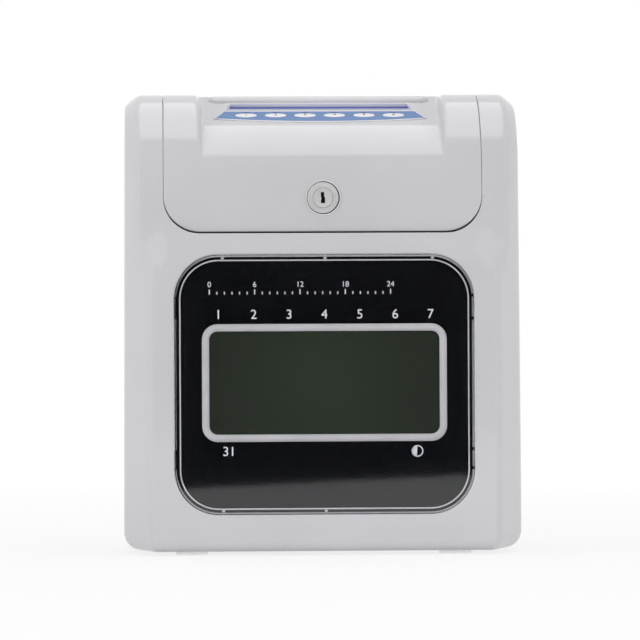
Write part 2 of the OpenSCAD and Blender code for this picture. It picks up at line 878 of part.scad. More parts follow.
module left_side_plate() { color(metal_grey) mirror([1, 0, 0]) side_plate(); }

module right_side_plate() {
    color(metal_grey) difference() {
        side_plate();
        bar_x(plate_x - past, plate_x + 2 * plate_t, motor_y, motor_z, feed_nose_r);
        for (z = feed_screw_z)
            bar_x(plate_x - past, plate_x + 2 * plate_t, motor_y, z, screw_r + screw_play);
    }
}

// Plate across the front of the mechanism: carries the belt's motor and its idler
cross_window_h = 12;
cross_window_drop = 2;

module cross_plate() {
    past_plate = cross_y + 2 * plate_t;
    color(metal_grey) difference() {
        block([-plate_x, cross_y, cross_low], [plate_x, cross_y + plate_t, cross_top]);
        bar_y(cross_y - past, past_plate, belt_x, belt_z, carriage_nose_r);
        bar_y(cross_y - past, past_plate, -belt_x, belt_z, motor_shaft_r);
        for (z = carriage_screw_z)
            bar_y(cross_y - past, past_plate, belt_x, z, screw_r + screw_play);
        prism_y(cross_y - past, past_plate)
            translate([0, belt_z - cross_window_drop]) oval(2 * head_travel, cross_window_h);
    }
}

// Windows for the rollers and tabs to the side plates, shared by both card guides
tab_low = 56;
tab_h = 14;
upper_tab_drop = 30;
upper_tab_z = print_z - upper_tab_drop;
upper_tab_h = 9;
window_gap = 2;
guide_foot = 3;
guide_lip = 1;
pinch_window = 6;
feed_window = 7.5;
ribbon_play = 1.5;

module roller_windows(r) {
    for (s = [-1, 1])
        block([s * roller_x - roller_w / 2 - window_gap, card_y - feed_drop, feed_z - r - window_gap],
              [s * roller_x + roller_w / 2 + window_gap, card_y + feed_drop, feed_z + r + window_gap]);
}

module guide_tabs(y) {
    block([-plate_x, y, tab_low], [plate_x, y + guide_t, tab_low + tab_h]);
    block([-plate_x, y, upper_tab_z], [plate_x, y + guide_t, upper_tab_z + upper_tab_h]);
}

lip = 4.5;
head_window_x = cartridge_x - arm_w - 1.5;

// Front wall of the card's way; it opens out at the top to catch the card
module card_guide_front() {
    color(metal_grey) difference() {
        union() {
            prism_x(-guide_w / 2, guide_w / 2)
                polygon([[guide_front_y, guide_low], [guide_front_y + guide_t, guide_low],
                         [guide_front_y + guide_t, guide_top - lip],
                         [guide_front_y + guide_t - lip / 2, guide_top],
                         [guide_front_y - lip / 2, guide_top], [guide_front_y, guide_top - lip]]);
            guide_tabs(guide_front_y);
        }
        roller_windows(pinch_window);
        block([-head_window_x, card_y - feed_drop, ribbon_low - ribbon_play],
              [head_window_x, card_y, ribbon_high + ribbon_play]);
    }
}

platen_x = 42;
platen_h = 9;
platen_edge = 1;
platen_d = 7;

// Rear wall of the card's way; its foot turns forward and stops the card
module card_guide_rear() {
    sole = guide_low - guide_foot;
    toe = guide_front_y - guide_lip;
    color(metal_grey) difference() {
        union() {
            prism_x(-guide_w / 2, guide_w / 2)
                polygon([[toe, sole], [guide_back_y + guide_t, sole],
                         [guide_back_y + guide_t, guide_top - lip],
                         [guide_back_y + guide_t + lip / 2, guide_top],
                         [guide_back_y + lip / 2, guide_top], [guide_back_y, guide_top - lip],
                         [guide_back_y, sole + guide_t], [toe, sole + guide_t]]);
            guide_tabs(guide_back_y);
        }
        roller_windows(feed_window);
        block([-platen_x - platen_edge, card_y, print_z - platen_h / 2 - platen_edge],
              [platen_x + platen_edge, card_y + feed_drop, print_z + platen_h / 2 + platen_edge]);
    }
}

// Light gate that sees the card arrive, on the front guide
sensor_x = 27;
sensor_w = 14;
sensor_h = 12;
sensor_d = 7;
sensor_t = 3;
sensor_rise = 24;

module card_sensor() {
    front = guide_front_y - sensor_d;
    z = tab_low + tab_h + sensor_rise;
    color(dark_grey) difference() {
        block([sensor_x - sensor_w / 2, front, z - sensor_h / 2],
              [sensor_x + sensor_w / 2, guide_front_y, z + sensor_h / 2]);
        block([sensor_x - sensor_w / 2 + sensor_t, front - past, z - sensor_h / 2 + sensor_t],
              [sensor_x + sensor_w / 2 - sensor_t, guide_front_y - sensor_t, z + sensor_h / 2 - sensor_t]);
    }
}

// Bar behind the card, and the rubber pad on it that takes the head's blows
pad_y = card_y + card_t;
pad_depth = 2;

module platen_bar() {
    color(metal_grey) block([-plate_x, pad_y + pad_depth, print_z - platen_h / 2 - platen_edge],
                            [plate_x, pad_y + pad_depth + platen_d, print_z + platen_h / 2 + platen_edge]);
}

module platen_pad() {
    color(dark_grey) block([-platen_x, pad_y, print_z - platen_h / 2],
                           [platen_x, pad_y + pad_depth, print_z + platen_h / 2]);
}

// Main rod that carries the head, and the thinner rod that keeps it from turning
module guide_rods() {
    reach = plate_x + plate_t;
    color(metal_grey) {
        bar_x(-reach, reach, head_y, print_z - rod_drop, rod_r);
        bar_x(-reach, reach, head_y, print_z + small_rod_rise, small_rod_r);
    }
}

// Motor can in front of the cross plate, with ears and a bearing boss
module carriage_motor() {
    color(metal_grey) difference() {
        union() {
            bar_y(cross_y - plate_t - carriage_can_l, cross_y - plate_t, belt_x, belt_z, carriage_can_r);
            prism_y(cross_y - plate_t, cross_y)
                translate([belt_x, belt_z]) rotate(90)
                    oval(2 * carriage_ear + carriage_ear_w, carriage_ear_w);
            bar_y(cross_y - 2 * plate_t, cross_y, belt_x, belt_z, carriage_boss_r);
            bar_y(cross_y - 2 * plate_t, cross_y + plate_t, belt_x, belt_z, carriage_nose_r);
        }
        bar_y(cross_y - motor_shaft_l - past, cross_y + 2 * plate_t, belt_x, belt_z, motor_shaft_r + run_gap);
        for (z = carriage_screw_z)
            bar_y(cross_y - 2 * plate_t, cross_y + past, belt_x, z, screw_r + screw_play);
    }
}

pulley_y = belt_y - belt_w / 2;
flange_t = 0.8;
flange_r = pulley_r + 2;
post_head_t = 1.2;
post_head_r = 3;

// Grooved wheel of the belt, about the line (x, belt_z): a core that runs through two flanges
module pulley_wheel(x) {
    front = pulley_y - fit_gap;
    back = pulley_y + belt_w + fit_gap;
    bar_y(front - flange_t, back + flange_t, x, belt_z, pulley_r);
    bar_y(front - flange_t, front, x, belt_z, flange_r);
    bar_y(back, back + flange_t, x, belt_z, flange_r);
}

module motor_pulley() {
    color(metal_grey) {
        pulley_wheel(belt_x);
        bar_y(cross_y - motor_shaft_l, pulley_y, belt_x, belt_z, motor_shaft_r);
    }
}

module idler_pulley() {
    color(key_white) difference() {
        pulley_wheel(-belt_x);
        bar_y(cross_y, pulley_y + 3 * belt_w, -belt_x, belt_z, motor_shaft_r + run_gap);
    }
}

// Fixed stud of the idler, with a head that keeps the wheel on
module idler_post() {
    tip = pulley_y + belt_w + 2 * fit_gap + flange_t;
    color(metal_grey) {
        bar_y(cross_y, tip + post_head_t, -belt_x, belt_z, motor_shaft_r);
        bar_y(tip, tip + post_head_t, -belt_x, belt_z, post_head_r);
    }
}

// Flat belt around both wheels
module drive_belt() {
    color(dark_grey) prism_y(pulley_y, pulley_y + belt_w) translate([0, belt_z]) difference() {
        oval(2 * (belt_x + pulley_r + run_gap + belt_t), 2 * (pulley_r + run_gap + belt_t));
        oval(2 * (belt_x + pulley_r + run_gap), 2 * (pulley_r + run_gap));
    }
}

pinion_shaft_l = 11;

// Motor can inside the right cheek, with ears and a bearing boss
module feed_motor() {
    color(metal_grey) difference() {
        union() {
            bar_x(plate_x - plate_t - feed_can_l, plate_x - plate_t, motor_y, motor_z, feed_can_r);
            prism_x(plate_x - plate_t, plate_x)
                translate([motor_y, motor_z]) rotate(90) oval(2 * feed_ear + feed_ear_w, feed_ear_w);
            bar_x(plate_x - 2 * plate_t, plate_x, motor_y, motor_z, feed_boss_r);
            bar_x(plate_x - 2 * plate_t, plate_x + plate_t, motor_y, motor_z, feed_nose_r);
        }
        bar_x(plate_x - pinion_shaft_l - past, plate_x + 2 * plate_t, motor_y, motor_z,
              motor_shaft_r + run_gap);
        for (z = feed_screw_z)
            bar_x(plate_x - 2 * plate_t, plate_x + past, motor_y, z, screw_r + screw_play);
    }
}

// Plain bearings of the two roller shafts, pressed into the side plates
module bush(y, r) {
    difference() {
        union() {
            bar_x(plate_x - bush_flange_t, plate_x, y, feed_z, bush_r + bush_flange_w);
            bar_x(plate_x - bush_flange_t, plate_x + plate_t, y, feed_z, bush_r);
        }
        bar_x(plate_x - 2 * bush_flange_t, plate_x + 3 * plate_t, y, feed_z, r + run_gap);
    }
}

module shaft_bushes() {
    color("goldenrod") both_sides() {
        bush(feed_y, shaft_r);
        bush(pinch_y, pinch_shaft_r);
    }
}

module feed_shaft() {
    color(metal_grey)
        bar_x(-plate_x - plate_t - shaft_end, gear_x + gear_w + shaft_end, feed_y, feed_z, shaft_r);
}

module pinch_shaft() {
    reach = plate_x + plate_t + shaft_end / 2;
    color(metal_grey) bar_x(-reach, reach, pinch_y, feed_z, pinch_shaft_r);
}

module roller_pair(y, r, bore) {
    for (s = [-1, 1]) difference() {
        bar_x(s * roller_x - roller_w / 2, s * roller_x + roller_w / 2, y, feed_z, r);
        bar_x(s * roller_x - roller_w, s * roller_x + roller_w, y, feed_z, bore);
    }
}

module feed_rollers() { color(dark_grey) roller_pair(feed_y, feed_r, shaft_r); }
module pinch_rollers() { color(dark_grey) roller_pair(pinch_y, pinch_r, pinch_shaft_r); }

// Involute gear outline, one tooth pointing along the angle turn
pressure_angle = 20;
backlash = 0.12;
function involute(base, r) = r <= base ? 0 : sqrt(pow(r / base, 2) - 1) * 180 / PI - acos(base / r);
function tooth_flank(pitch, base, teeth, r) =
    90 / teeth - backlash / pitch * 90 / PI + involute(base, pitch) - involute(base, r);
function gear_points(teeth, turn) =
    let (pitch = gear_module * teeth / 2,
         base = pitch * cos(pressure_angle),
         root = pitch - 1.25 * gear_module,
         tip = pitch + 0.95 * gear_module,
         radii = [root, max(root, base) + 0.02, pitch, tip])
    [for (i = [0 : teeth - 1]) let (mid = turn + 360 * i / teeth)
     each concat(
         [for (r = radii) let (a = mid - tooth_flank(pitch, base, teeth, r)) [r * cos(a), r * sin(a)]],
         [for (k = [3 : -1 : 0])
          let (r = radii[k], a = mid + tooth_flank(pitch, base, teeth, r)) [r * cos(a), r * sin(a)]])];

hub_t = 3;
hub_step = 1.5;
web_holes = 5;
web_hole_r = 3;

module feed_gear() {
    hole_ring_r = (shaft_r + hub_t + gear_pitch_r) / 2 - gear_module;
    color(key_white) difference() {
        union() {
            prism_x(gear_x, gear_x + gear_w)
                translate([feed_y, feed_z]) polygon(gear_points(gear_teeth, gear_angle));
            bar_x(gear_x - hub_step, gear_x + gear_w, feed_y, feed_z, shaft_r + hub_t);
        }
        bar_x(gear_x - 2 * hub_step, gear_x + 2 * gear_w, feed_y, feed_z, shaft_r);
        for (i = [0 : web_holes - 1])
            translate([0, feed_y, feed_z]) rotate([360 / web_holes * i, 0, 0])
                bar_x(gear_x - 2 * hub_step, gear_x + 2 * gear_w, hole_ring_r, 0, web_hole_r);
    }
}

// Small gear with its shaft, turning in the feed motor
module feed_pinion() {
    color("goldenrod") {
        prism_x(gear_x, gear_x + gear_w) translate([motor_y, motor_z])
            polygon(gear_points(pinion_teeth, gear_angle + 180 + 180 / pinion_teeth));
        bar_x(plate_x - pinion_shaft_l, gear_x + gear_w, motor_y, motor_z, motor_shaft_r);
    }
}

// Shelf between the side plates on which the ribbon cartridge sits
deck_rim = 15;

module ribbon_deck() {
    color(metal_grey) difference() {
        block([-plate_x, plate_front, deck_z], [plate_x, cartridge_back - fit_gap, deck_z + deck_t]);
        translate([0, (plate_front + cartridge_back) / 2, deck_z - past])
            linear_extrude(4 * deck_t) oval(2 * (cartridge_x - deck_rim), deck_window_d);
    }
}

// Box of the ribbon with two arms that reach past the head
arm_edge = 0.5;

module ribbon_cartridge() {
    color(dark_grey) difference() {
        union() {
            block([-cartridge_x, cartridge_front, deck_z + deck_t],
                  [cartridge_x, cartridge_back, cartridge_top]);
            both_sides() block([cartridge_x - arm_w, cartridge_back - past, ribbon_low - arm_edge],
                               [cartridge_x, ribbon_y + arm_edge, cartridge_top - lip]);
        }
        both_sides() block([0, cartridge_back - 2 * past, ribbon_low - 2 * past],
                           [cartridge_x + past, cartridge_back, deck_z + deck_t]);
        translate([knob_x, knob_y, deck_z + deck_t + knob_seat])
            cylinder(h = 2 * cartridge_h, r = knob_shaft_r + run_gap);
    }
}

module ribbon_cover() {
    color(dark_grey) difference() {
        block([-cartridge_x, cartridge_front, cartridge_top],
              [cartridge_x, cartridge_back, cartridge_top + cover_t]);
        translate([knob_x, knob_y, cartridge_top - past])
            cylinder(h = cover_t + 2 * past, r = knob_shaft_r + run_gap);
    }
}

module ink_ribbon() {
    color(panel_black) block([-cartridge_x + arm_w, ribbon_y - ribbon_t, ribbon_low],
                             [cartridge_x - arm_w, ribbon_y, ribbon_high]);
}

// Knob that winds the ribbon tight by hand, fluted at its rim
flute_count = 10;
flute_r = 1.3;

module ribbon_knob() {
    low = cartridge_top + cover_t + fit_gap;
    foot = deck_z + deck_t + knob_seat + fit_gap;
    color(key_white) translate([knob_x, knob_y, 0]) {
        translate([0, 0, foot]) cylinder(h = low + knob_h - foot, r = knob_shaft_r);
        difference() {
            translate([0, 0, low]) cylinder(h = knob_h, r = knob_r);
            for (i = [0 : flute_count - 1]) rotate(360 / flute_count * i)
                translate([knob_r + flute_r / 2, 0, low - past]) cylinder(h = knob_h + 2 * past, r = flute_r);
        }
    }
}

// Block that slides on the rods; its foot grips the belt's upper run
belt_run_low = belt_z + pulley_r + run_gap;
clamp_t = 1.6;
clamp_w = 12;
clamp_lip = 0.8;

module head_carriage() {
    low = print_z - carriage_drop;
    clamp_back = pulley_y + belt_w + clamp_lip;
    color(key_white) difference() {
        union() {
            block([-carriage_w / 2, carriage_front, low],
                  [carriage_w / 2, carriage_back, print_z + carriage_rise]);
            block([-clamp_w / 2, pulley_y - clamp_t, belt_run_low - fit_gap - clamp_t],
                  [clamp_w / 2, clamp_back, low + past]);
        }
        block([-carriage_w, pulley_y - fit_gap, belt_run_low - fit_gap],
              [carriage_w, clamp_back + past, belt_run_low + belt_t + fit_gap]);
        bar_x(-carriage_w, carriage_w, head_y, print_z - rod_drop, rod_r + run_gap);
        bar_x(-carriage_w, carriage_w, head_y, print_z + small_rod_rise, small_rod_r + run_gap);
    }
}

// Needle head: a finned block with a narrow nose that ends just before the ribbon
head_w = 18;
head_d = 5.6;
head_drop = 9;
needle_w = 6;
needle_h = 9;
fin_count = 4;
fin_pitch = 3;
fin_gap = 1.4;
fin_depth = 4;

module print_head() {
    nose_end = ribbon_y - ribbon_t - fit_gap;
    first_fin = print_z - head_drop + fin_pitch / 2;
    color(dark_grey) difference() {
        union() {
            block([-head_w / 2, carriage_back, print_z - head_drop],
                  [head_w / 2, carriage_back + head_d, print_z + carriage_rise]);
            block([-needle_w / 2, carriage_back + head_d - past, print_z - needle_h / 2],
                  [needle_w / 2, nose_end, print_z + needle_h / 2]);
        }
        for (i = [0 : fin_count - 1]) both_sides()
            block([head_w / 2 - fin_depth, carriage_back + clamp_t, first_fin + fin_pitch * i],
                  [head_w, carriage_back + 2 * head_d, first_fin + fin_pitch * i + fin_gap]);
    }
}

// Flip-up hood over the mechanism, with the scooped top, the slot and the keypad floor
module door() {
    half = door_w / 2;
    color(shell_white) difference() {
        union() {
            difference() {
                intersection() {
                    prism_x(-half, half) {
                        hood_shape(0, hinge_y);
                        translate([hinge_y, hinge_z]) circle(hinge_r);
                    }
                    prism_y(-body_d, body_d) door_outline(0);
                }
                difference() {
                    union() {
                        intersection() {
                            prism_x(wall - half, half - wall) hood_shape(wall, hinge_y - hinge_r);
                            prism_y(-body_d, body_d) door_outline(-wall);
                        }
                        prism_x(-door_w, door_w) hood_shape(door_rim, hinge_y - hinge_r);
                        block([-door_w, hinge_y - hinge_r - past, door_z - past],
                              [door_w, body_d, hinge_z - hinge_r]);
                    }
                    prism_x(-scoop_w / 2 - wall, scoop_w / 2 + wall) scoop_shape(wall);
                }
                prism_x(-scoop_w / 2, scoop_w / 2) scoop_shape(0);
            }
            translate([0, ridge_y + ridge_d / 2, ridge_z])
                linear_extrude(ridge_top - ridge_z) round_rect(ridge_w, ridge_d, ridge_corner_r);
            on_ramp() for (x = [-1, 1]) for (y = [-1, 1])
                translate([x * key_post_x, key_mid + y * key_post_y, -key_board_top])
                    cylinder(h = key_board_top - wall / 2, r = key_post_r);
        }
        block([-slot_w / 2 - liner_t, slot_y - liner_t, liner_low - past],
              [slot_w / 2 + liner_t, slot_y + slot_d + liner_t, body_h + past]);
        on_ramp() for (i = [0 : key_count - 1])
            translate([key_x(i), key_mid, -wall - past])
                linear_extrude(3 * wall) oval(key_w + 2 * fit_gap, key_d + 2 * fit_gap);
        bar_y(-body_d, upper_y + 2 * wall, 0, lock_z, barrel_r);
        both_sides() bar_x(half - pin_grip - fit_gap, half + past, hinge_y, hinge_z, hinge_pin_r + run_gap);
    }
}

// Thin sheet on the keypad floor, wider and bowed at its front edge
module keypad_overlay() {
    front = overlay_w_front / 2;
    back = overlay_w_back / 2 - overlay_corner_r;
    back_y = overlay_back - overlay_corner_r;
    bow_r = (pow(front, 2) + pow(overlay_bow, 2)) / (2 * overlay_bow);
    bow_half = asin(front / bow_r);
    bow_cy = overlay_front + bow_r - overlay_bow;
    color(keypad_blue) on_ramp() translate([0, 0, overlay_seat]) linear_extrude(overlay_t) difference() {
        polygon(concat(arc(0, bow_cy, bow_r, 270 - bow_half, 270 + bow_half, 16),
                       arc(back, back_y, overlay_corner_r, 0, 90, 4),
                       arc(-back, back_y, overlay_corner_r, 90, 180, 4)));
        for (i = [0 : key_count - 1])
            translate([key_x(i), key_mid]) oval(key_w + 2 * fit_gap, key_d + 2 * fit_gap);
    }
}

// Switch board under the keys, screwed to four posts of the door
module key_board() {
    on_ramp() {
        color(board_green)
            translate([-key_board_w / 2, key_mid - key_board_d / 2, -key_board_top - key_board_t])
                cube([key_board_w, key_board_d, key_board_t]);
        color(dark_grey) for (i = [0 : key_count - 1])
            translate([key_x(i) - switch_w / 2, key_mid - switch_w / 2, -key_board_top])
                cube([switch_w, switch_w, switch_h]);
    }
}

// Tube of the card slot, its upper end cut along the keypad floor
module slot_liner() {
    color(liner_blue) difference() {
        block([-slot_w / 2 - liner_t, slot_y - liner_t, liner_low],
              [slot_w / 2 + liner_t, slot_y + slot_d + liner_t, body_h]);
        block([-slot_w / 2, slot_y, liner_low - past], [slot_w / 2, slot_y + slot_d, body_h + past]);
        prism_x(-slot_w, slot_w) scoop_shape(0);
    }
}

module lock_barrel() {
    color(metal_grey) difference() {
        union() {
            bar_y(upper_y - lock_proud, upper_y, 0, lock_z, lock_r);
            bar_y(upper_y - lock_proud, cam_y - fit_gap, 0, lock_z, barrel_r);
        }
        bar_y(-body_d, cam_y, 0, lock_z, plug_r + run_gap);
    }
}

module lock_nut() {
    color(metal_grey) difference() {
        translate([0, upper_y + wall + nut_gap + nut_t, lock_z])
            rotate([90, 0, 0]) cylinder(h = nut_t, r = barrel_r + nut_w, $fn = 6);
        bar_y(upper_y, cam_y, 0, lock_z, barrel_r);
    }
}

key_slot_w = 2;
key_slot_h = 5.5;
key_slot_d = 7;

module lock_plug() {
    color(metal_grey) difference() {
        bar_y(upper_y - plug_proud, cam_y, 0, lock_z, plug_r);
        block([-key_slot_w / 2, -body_d, lock_z - key_slot_h / 2],
              [key_slot_w / 2, upper_y + key_slot_d, lock_z + key_slot_h / 2]);
    }
}

// Tongue on the back of the plug; it points to the side when the door is free
module lock_cam() {
    color(metal_grey) {
        prism_y(cam_y, cam_y + cam_t) translate([0, lock_z]) {
            circle(cam_hub_r);
            translate([-cam_reach + cam_w / 2, -cam_w / 2]) square([cam_reach - cam_w / 2, cam_w]);
            translate([-cam_reach + cam_w / 2, 0]) circle(cam_w / 2);
        }
        bar_y(cam_y, cam_y + cam_t + cam_screw_h, 0, lock_z, cam_screw_r);
    }
}

// One oval key: its cap passes through the keypad, its flange stays below
module key(i) {
    color(key_white) on_ramp() translate([key_x(i - 1), key_mid, -key_low]) {
        linear_extrude(key_low + key_proud) oval(key_w, key_d);
        linear_extrude(key_flange) oval(key_w + 2 * key_flange_w, key_d + 2 * key_flange_w);
    }
}

module key_1() { key(1); }
module key_2() { key(2); }
module key_3() { key(3); }
module key_4() { key(4); }
module key_5() { key(5); }
module key_6() { key(6); }

front_case();
rear_case();
base_plate();
rubber_feet();
case_screws();
hinge_pins();
display_lens();
display_mask();
lcd_glass();
lcd_frame();
main_board();
board_chips();
buzzer();
inner_screws();
battery_pack();
dc_inlet();
left_side_plate();
right_side_plate();
cross_plate();
card_guide_front();
card_guide_rear();
card_sensor();
platen_bar();
platen_pad();
guide_rods();
carriage_motor();
idler_post();
drive_belt();
feed_motor();
shaft_bushes();
ribbon_deck();
ribbon_cartridge();
ribbon_cover();
ink_ribbon();
head_carriage();
print_head();
motor_pulley();
idler_pulley();
feed_shaft();
feed_rollers();
feed_gear();
pinch_shaft();
pinch_rollers();
feed_pinion();
ribbon_knob();
door();
keypad_overlay();
key_board();
slot_liner();
lock_barrel();
lock_nut();
lock_plug();
lock_cam();
key_1();
key_2();
key_3();
key_4();
key_5();
key_6();
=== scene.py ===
# %% [markdown]
# # A punch card time clock
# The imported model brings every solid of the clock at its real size: the casing, the flip-up door, the
# keys and the whole printing mechanism. This lesson dresses it. Moulded shells get soft edges that a
# plain solid lacks, and each material gets its own nodes. Sizes here are millimetres, turned into metres
# when a mesh is made. Only the stage and its lamps are written in metres.

# %% Load the frame
import math

import bmesh
import bpy
import numpy as np
from mathutils import Matrix, Vector


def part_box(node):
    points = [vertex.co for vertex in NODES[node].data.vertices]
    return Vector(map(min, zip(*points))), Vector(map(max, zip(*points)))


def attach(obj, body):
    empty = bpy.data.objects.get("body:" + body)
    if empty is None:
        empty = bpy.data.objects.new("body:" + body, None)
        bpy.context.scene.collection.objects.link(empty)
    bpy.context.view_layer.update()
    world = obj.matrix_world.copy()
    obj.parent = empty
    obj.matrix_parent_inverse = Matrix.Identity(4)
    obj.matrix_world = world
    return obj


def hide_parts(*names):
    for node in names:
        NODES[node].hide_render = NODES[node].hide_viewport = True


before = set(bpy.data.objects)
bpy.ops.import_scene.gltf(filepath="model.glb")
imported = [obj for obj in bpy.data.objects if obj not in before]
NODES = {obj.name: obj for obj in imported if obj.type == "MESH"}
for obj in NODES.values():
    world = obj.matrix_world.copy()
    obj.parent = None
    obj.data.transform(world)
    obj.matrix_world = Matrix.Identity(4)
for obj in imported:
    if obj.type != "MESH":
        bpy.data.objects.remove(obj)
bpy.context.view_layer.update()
MM = 0.001


def node_box(name):
    """Lowest and highest corner of a node, in millimetres."""
    return [np.array(corner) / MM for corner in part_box(name)]


CASE_LOW, CASE_HIGH = node_box("front_case")
REAR_LOW, REAR_HIGH = node_box("rear_case")
DOOR_LOW, DOOR_HIGH = node_box("door")
LENS_LOW, LENS_HIGH = node_box("display_lens")

# %% [markdown]
# ## Building blocks
# Every new surface is a grid of points: one function of two parameters, worked out as whole arrays. Grids
# that share an edge are put together and their equal points are welded, so that a shell made of several
# patches shades as one skin. A Solidify modifier then gives the skin its wall, and Weighted Normal keeps
# broad faces even beside narrow rounded edges.

# %% Grids, welding and modifiers
WELD = 2e-6
LOOKS_FORWARD = 0.9999
BROAD_FACES = 80


def grid_faces(rows, cols, start):
    """Quads of a grid stored row by row: a point, its right, its upper right and its upper neighbour."""
    index = np.arange(rows * cols).reshape(rows, cols) + start
    corners = [index[:-1, :-1], index[:-1, 1:], index[1:, 1:], index[1:, :-1]]
    return np.stack(corners, axis=-1).reshape(-1, 4)


def welded(mesh):
    """Merges equal points of a mesh and drops what is then left without an area or a face."""
    work = bmesh.new()
    work.from_mesh(mesh)
    bmesh.ops.remove_doubles(work, verts=work.verts, dist=WELD)
    bmesh.ops.dissolve_degenerate(work, edges=work.edges, dist=WELD)
    loose = [v for v in work.verts if not v.link_faces]
    bmesh.ops.delete(work, geom=loose, context="VERTS")
    work.to_mesh(mesh)
    work.free()
    return mesh


def grid_mesh(name, grids, keep=None):
    """One mesh from several grids of points (rows, columns, 3); keep tells which face centres stay."""
    points = np.concatenate([g.reshape(-1, 3) for g in grids])
    starts = np.cumsum([0] + [g.shape[0] * g.shape[1] for g in grids[:-1]])
    faces = np.concatenate([grid_faces(*g.shape[:2], s) for g, s in zip(grids, starts)])
    if keep is not None:
        faces = faces[keep(points[faces].mean(axis=1))]
    mesh = bpy.data.meshes.new(name)
    mesh.from_pydata((points * MM).tolist(), [], faces.tolist())
    welded(mesh).shade_smooth()
    return mesh


def crisp(mesh, angle=38):
    """Marks the edges that are sharper than the angle, so that shading breaks there."""
    mesh.set_sharp_from_angle(angle=math.radians(angle))
    return mesh


def flat_front(mesh):
    """Shades the faces that look straight along Y as flat, and leaves the rounded rest smooth."""
    normals = np.empty(len(mesh.polygons) * 3)
    mesh.polygons.foreach_get("normal", normals)
    mesh.polygons.foreach_set("use_smooth", np.abs(normals[1::3]) < LOOKS_FORWARD)
    return mesh


def add_piece(mesh, material, body, stands_for=()):
    """Puts a mesh into the scene as a piece that rides on a body and may stand for CAD nodes."""
    piece = bpy.data.objects.new(mesh.name, mesh)
    bpy.context.scene.collection.objects.link(piece)
    mesh.materials.append(material)
    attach(piece, body)
    if stands_for:
        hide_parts(*stands_for)
    print(piece.name, len(mesh.polygons), "faces")
    return piece


def thicken(piece, wall):
    """A Solidify that grows the wall inwards from the outer skin."""
    shell = piece.modifiers.new("wall", "SOLIDIFY")
    shell.thickness = wall * MM
    shell.offset = -1


def even_shading(piece):
    """Weighted normals keep broad faces flat beside narrow rounded edges."""
    shading = piece.modifiers.new("shading", "WEIGHTED_NORMAL")
    shading.weight = BROAD_FACES
    shading.keep_sharp = True


print("equal points are welded within", WELD, "m")


# %% Blends, arcs and loops
def ease(u):
    """A straight rise from 0 to 1 whose first and last quarter are parabolas that start and stop level."""
    end = 0.25
    slope = 1 / (1 - end)
    u = np.clip(u, 0, 1)
    middle = slope * (u - end / 2)
    first = slope * u**2 / (2 * end)
    last = 1 - slope * (1 - u) ** 2 / (2 * end)
    return np.where(u < end, first, np.where(u > 1 - end, last, middle))


def sagitta(gap, radius):
    """How far a circle falls away at a gap past its top: r less the root of r squared less gap squared."""
    gap = np.clip(gap, 0, radius)
    return radius - np.sqrt(radius**2 - gap**2)


def blend_weights(q, knots, arms):
    """Weights of the knots at each q: straight between knots, a parabola from arm to arm over a corner."""
    def hat(at):
        return np.stack([np.interp(at, knots, row) for row in np.eye(len(knots))], axis=-1)

    weights = hat(q)
    for k in range(1, len(knots) - 1):
        near = np.abs(q - knots[k]) < arms[k]
        u = ((q[near] - knots[k]) / arms[k] + 1)[:, None] / 2
        before = hat(np.array([knots[k] - arms[k]]))
        after = hat(np.array([knots[k] + arms[k]]))
        weights[near] = (1 - u) ** 2 * before + 2 * u * (1 - u) * np.eye(len(knots))[k] + u**2 * after
    return weights


def stack_points(x, y, z):
    """Three arrays, spread to one shape, as an array of points."""
    return np.stack(np.broadcast_arrays(x, y, z), axis=-1).astype(float)


def rounded_polygon(corners, radii, steps):
    """A loop along straight sides whose corners are arcs of the given radii."""
    corners = np.array(corners, float)
    before = np.roll(corners, 1, axis=0) - corners
    after = np.roll(corners, -1, axis=0) - corners
    before /= np.linalg.norm(before, axis=1)[:, None]
    after /= np.linalg.norm(after, axis=1)[:, None]
    half = np.arccos(np.clip((before * after).sum(axis=1), -1, 1)) / 2
    middle = before + after
    middle /= np.linalg.norm(middle, axis=1)[:, None]
    radii = np.array(radii, float)
    centres = corners + middle * (radii / np.sin(half))[:, None]
    start = corners + before * (radii / np.tan(half))[:, None] - centres
    end = corners + after * (radii / np.tan(half))[:, None] - centres
    turn = np.arctan2(start[:, 0] * end[:, 1] - start[:, 1] * end[:, 0], (start * end).sum(axis=1))
    angle = turn[:, None] * np.linspace(0, 1, steps)[None, :]
    cos, sin = np.cos(angle)[..., None], np.sin(angle)[..., None]
    side = np.stack([-start[:, 1], start[:, 0]], axis=-1)
    return (centres[:, None] + cos * start[:, None] + sin * side[:, None]).reshape(-1, 2)


def inset_polygon(corners, distance):
    """The corners of a polygon, drawn anticlockwise, whose sides have all moved inwards by the distance."""
    corners = np.array(corners, float)
    edge = np.roll(corners, -1, axis=0) - corners
    normal = np.stack([-edge[:, 1], edge[:, 0]], axis=-1) / np.linalg.norm(edge, axis=1)[:, None]
    reach = (normal * corners).sum(axis=1) + distance
    last = np.roll(normal, 1, axis=0)
    last_reach = np.roll(reach, 1)
    det = last[:, 0] * normal[:, 1] - last[:, 1] * normal[:, 0]
    x = (last_reach * normal[:, 1] - reach * last[:, 1]) / det
    y = (last[:, 0] * reach - normal[:, 0] * last_reach) / det
    return np.stack([x, y], axis=-1)


def offset_loop(loop, distance):
    """A closed smooth loop, drawn anticlockwise, moved outwards along its own normals."""
    tangent = np.roll(loop, -1, axis=0) - np.roll(loop, 1, axis=0)
    normal = np.stack([tangent[:, 1], -tangent[:, 0]], axis=-1)
    normal /= np.linalg.norm(normal, axis=1)[:, None]
    return loop + normal * distance


def close_loop(points):
    """The same points with the first repeated at the end, along the columns."""
    return np.concatenate([points, points[..., :1, :]], axis=-2)


print("helpers ready")

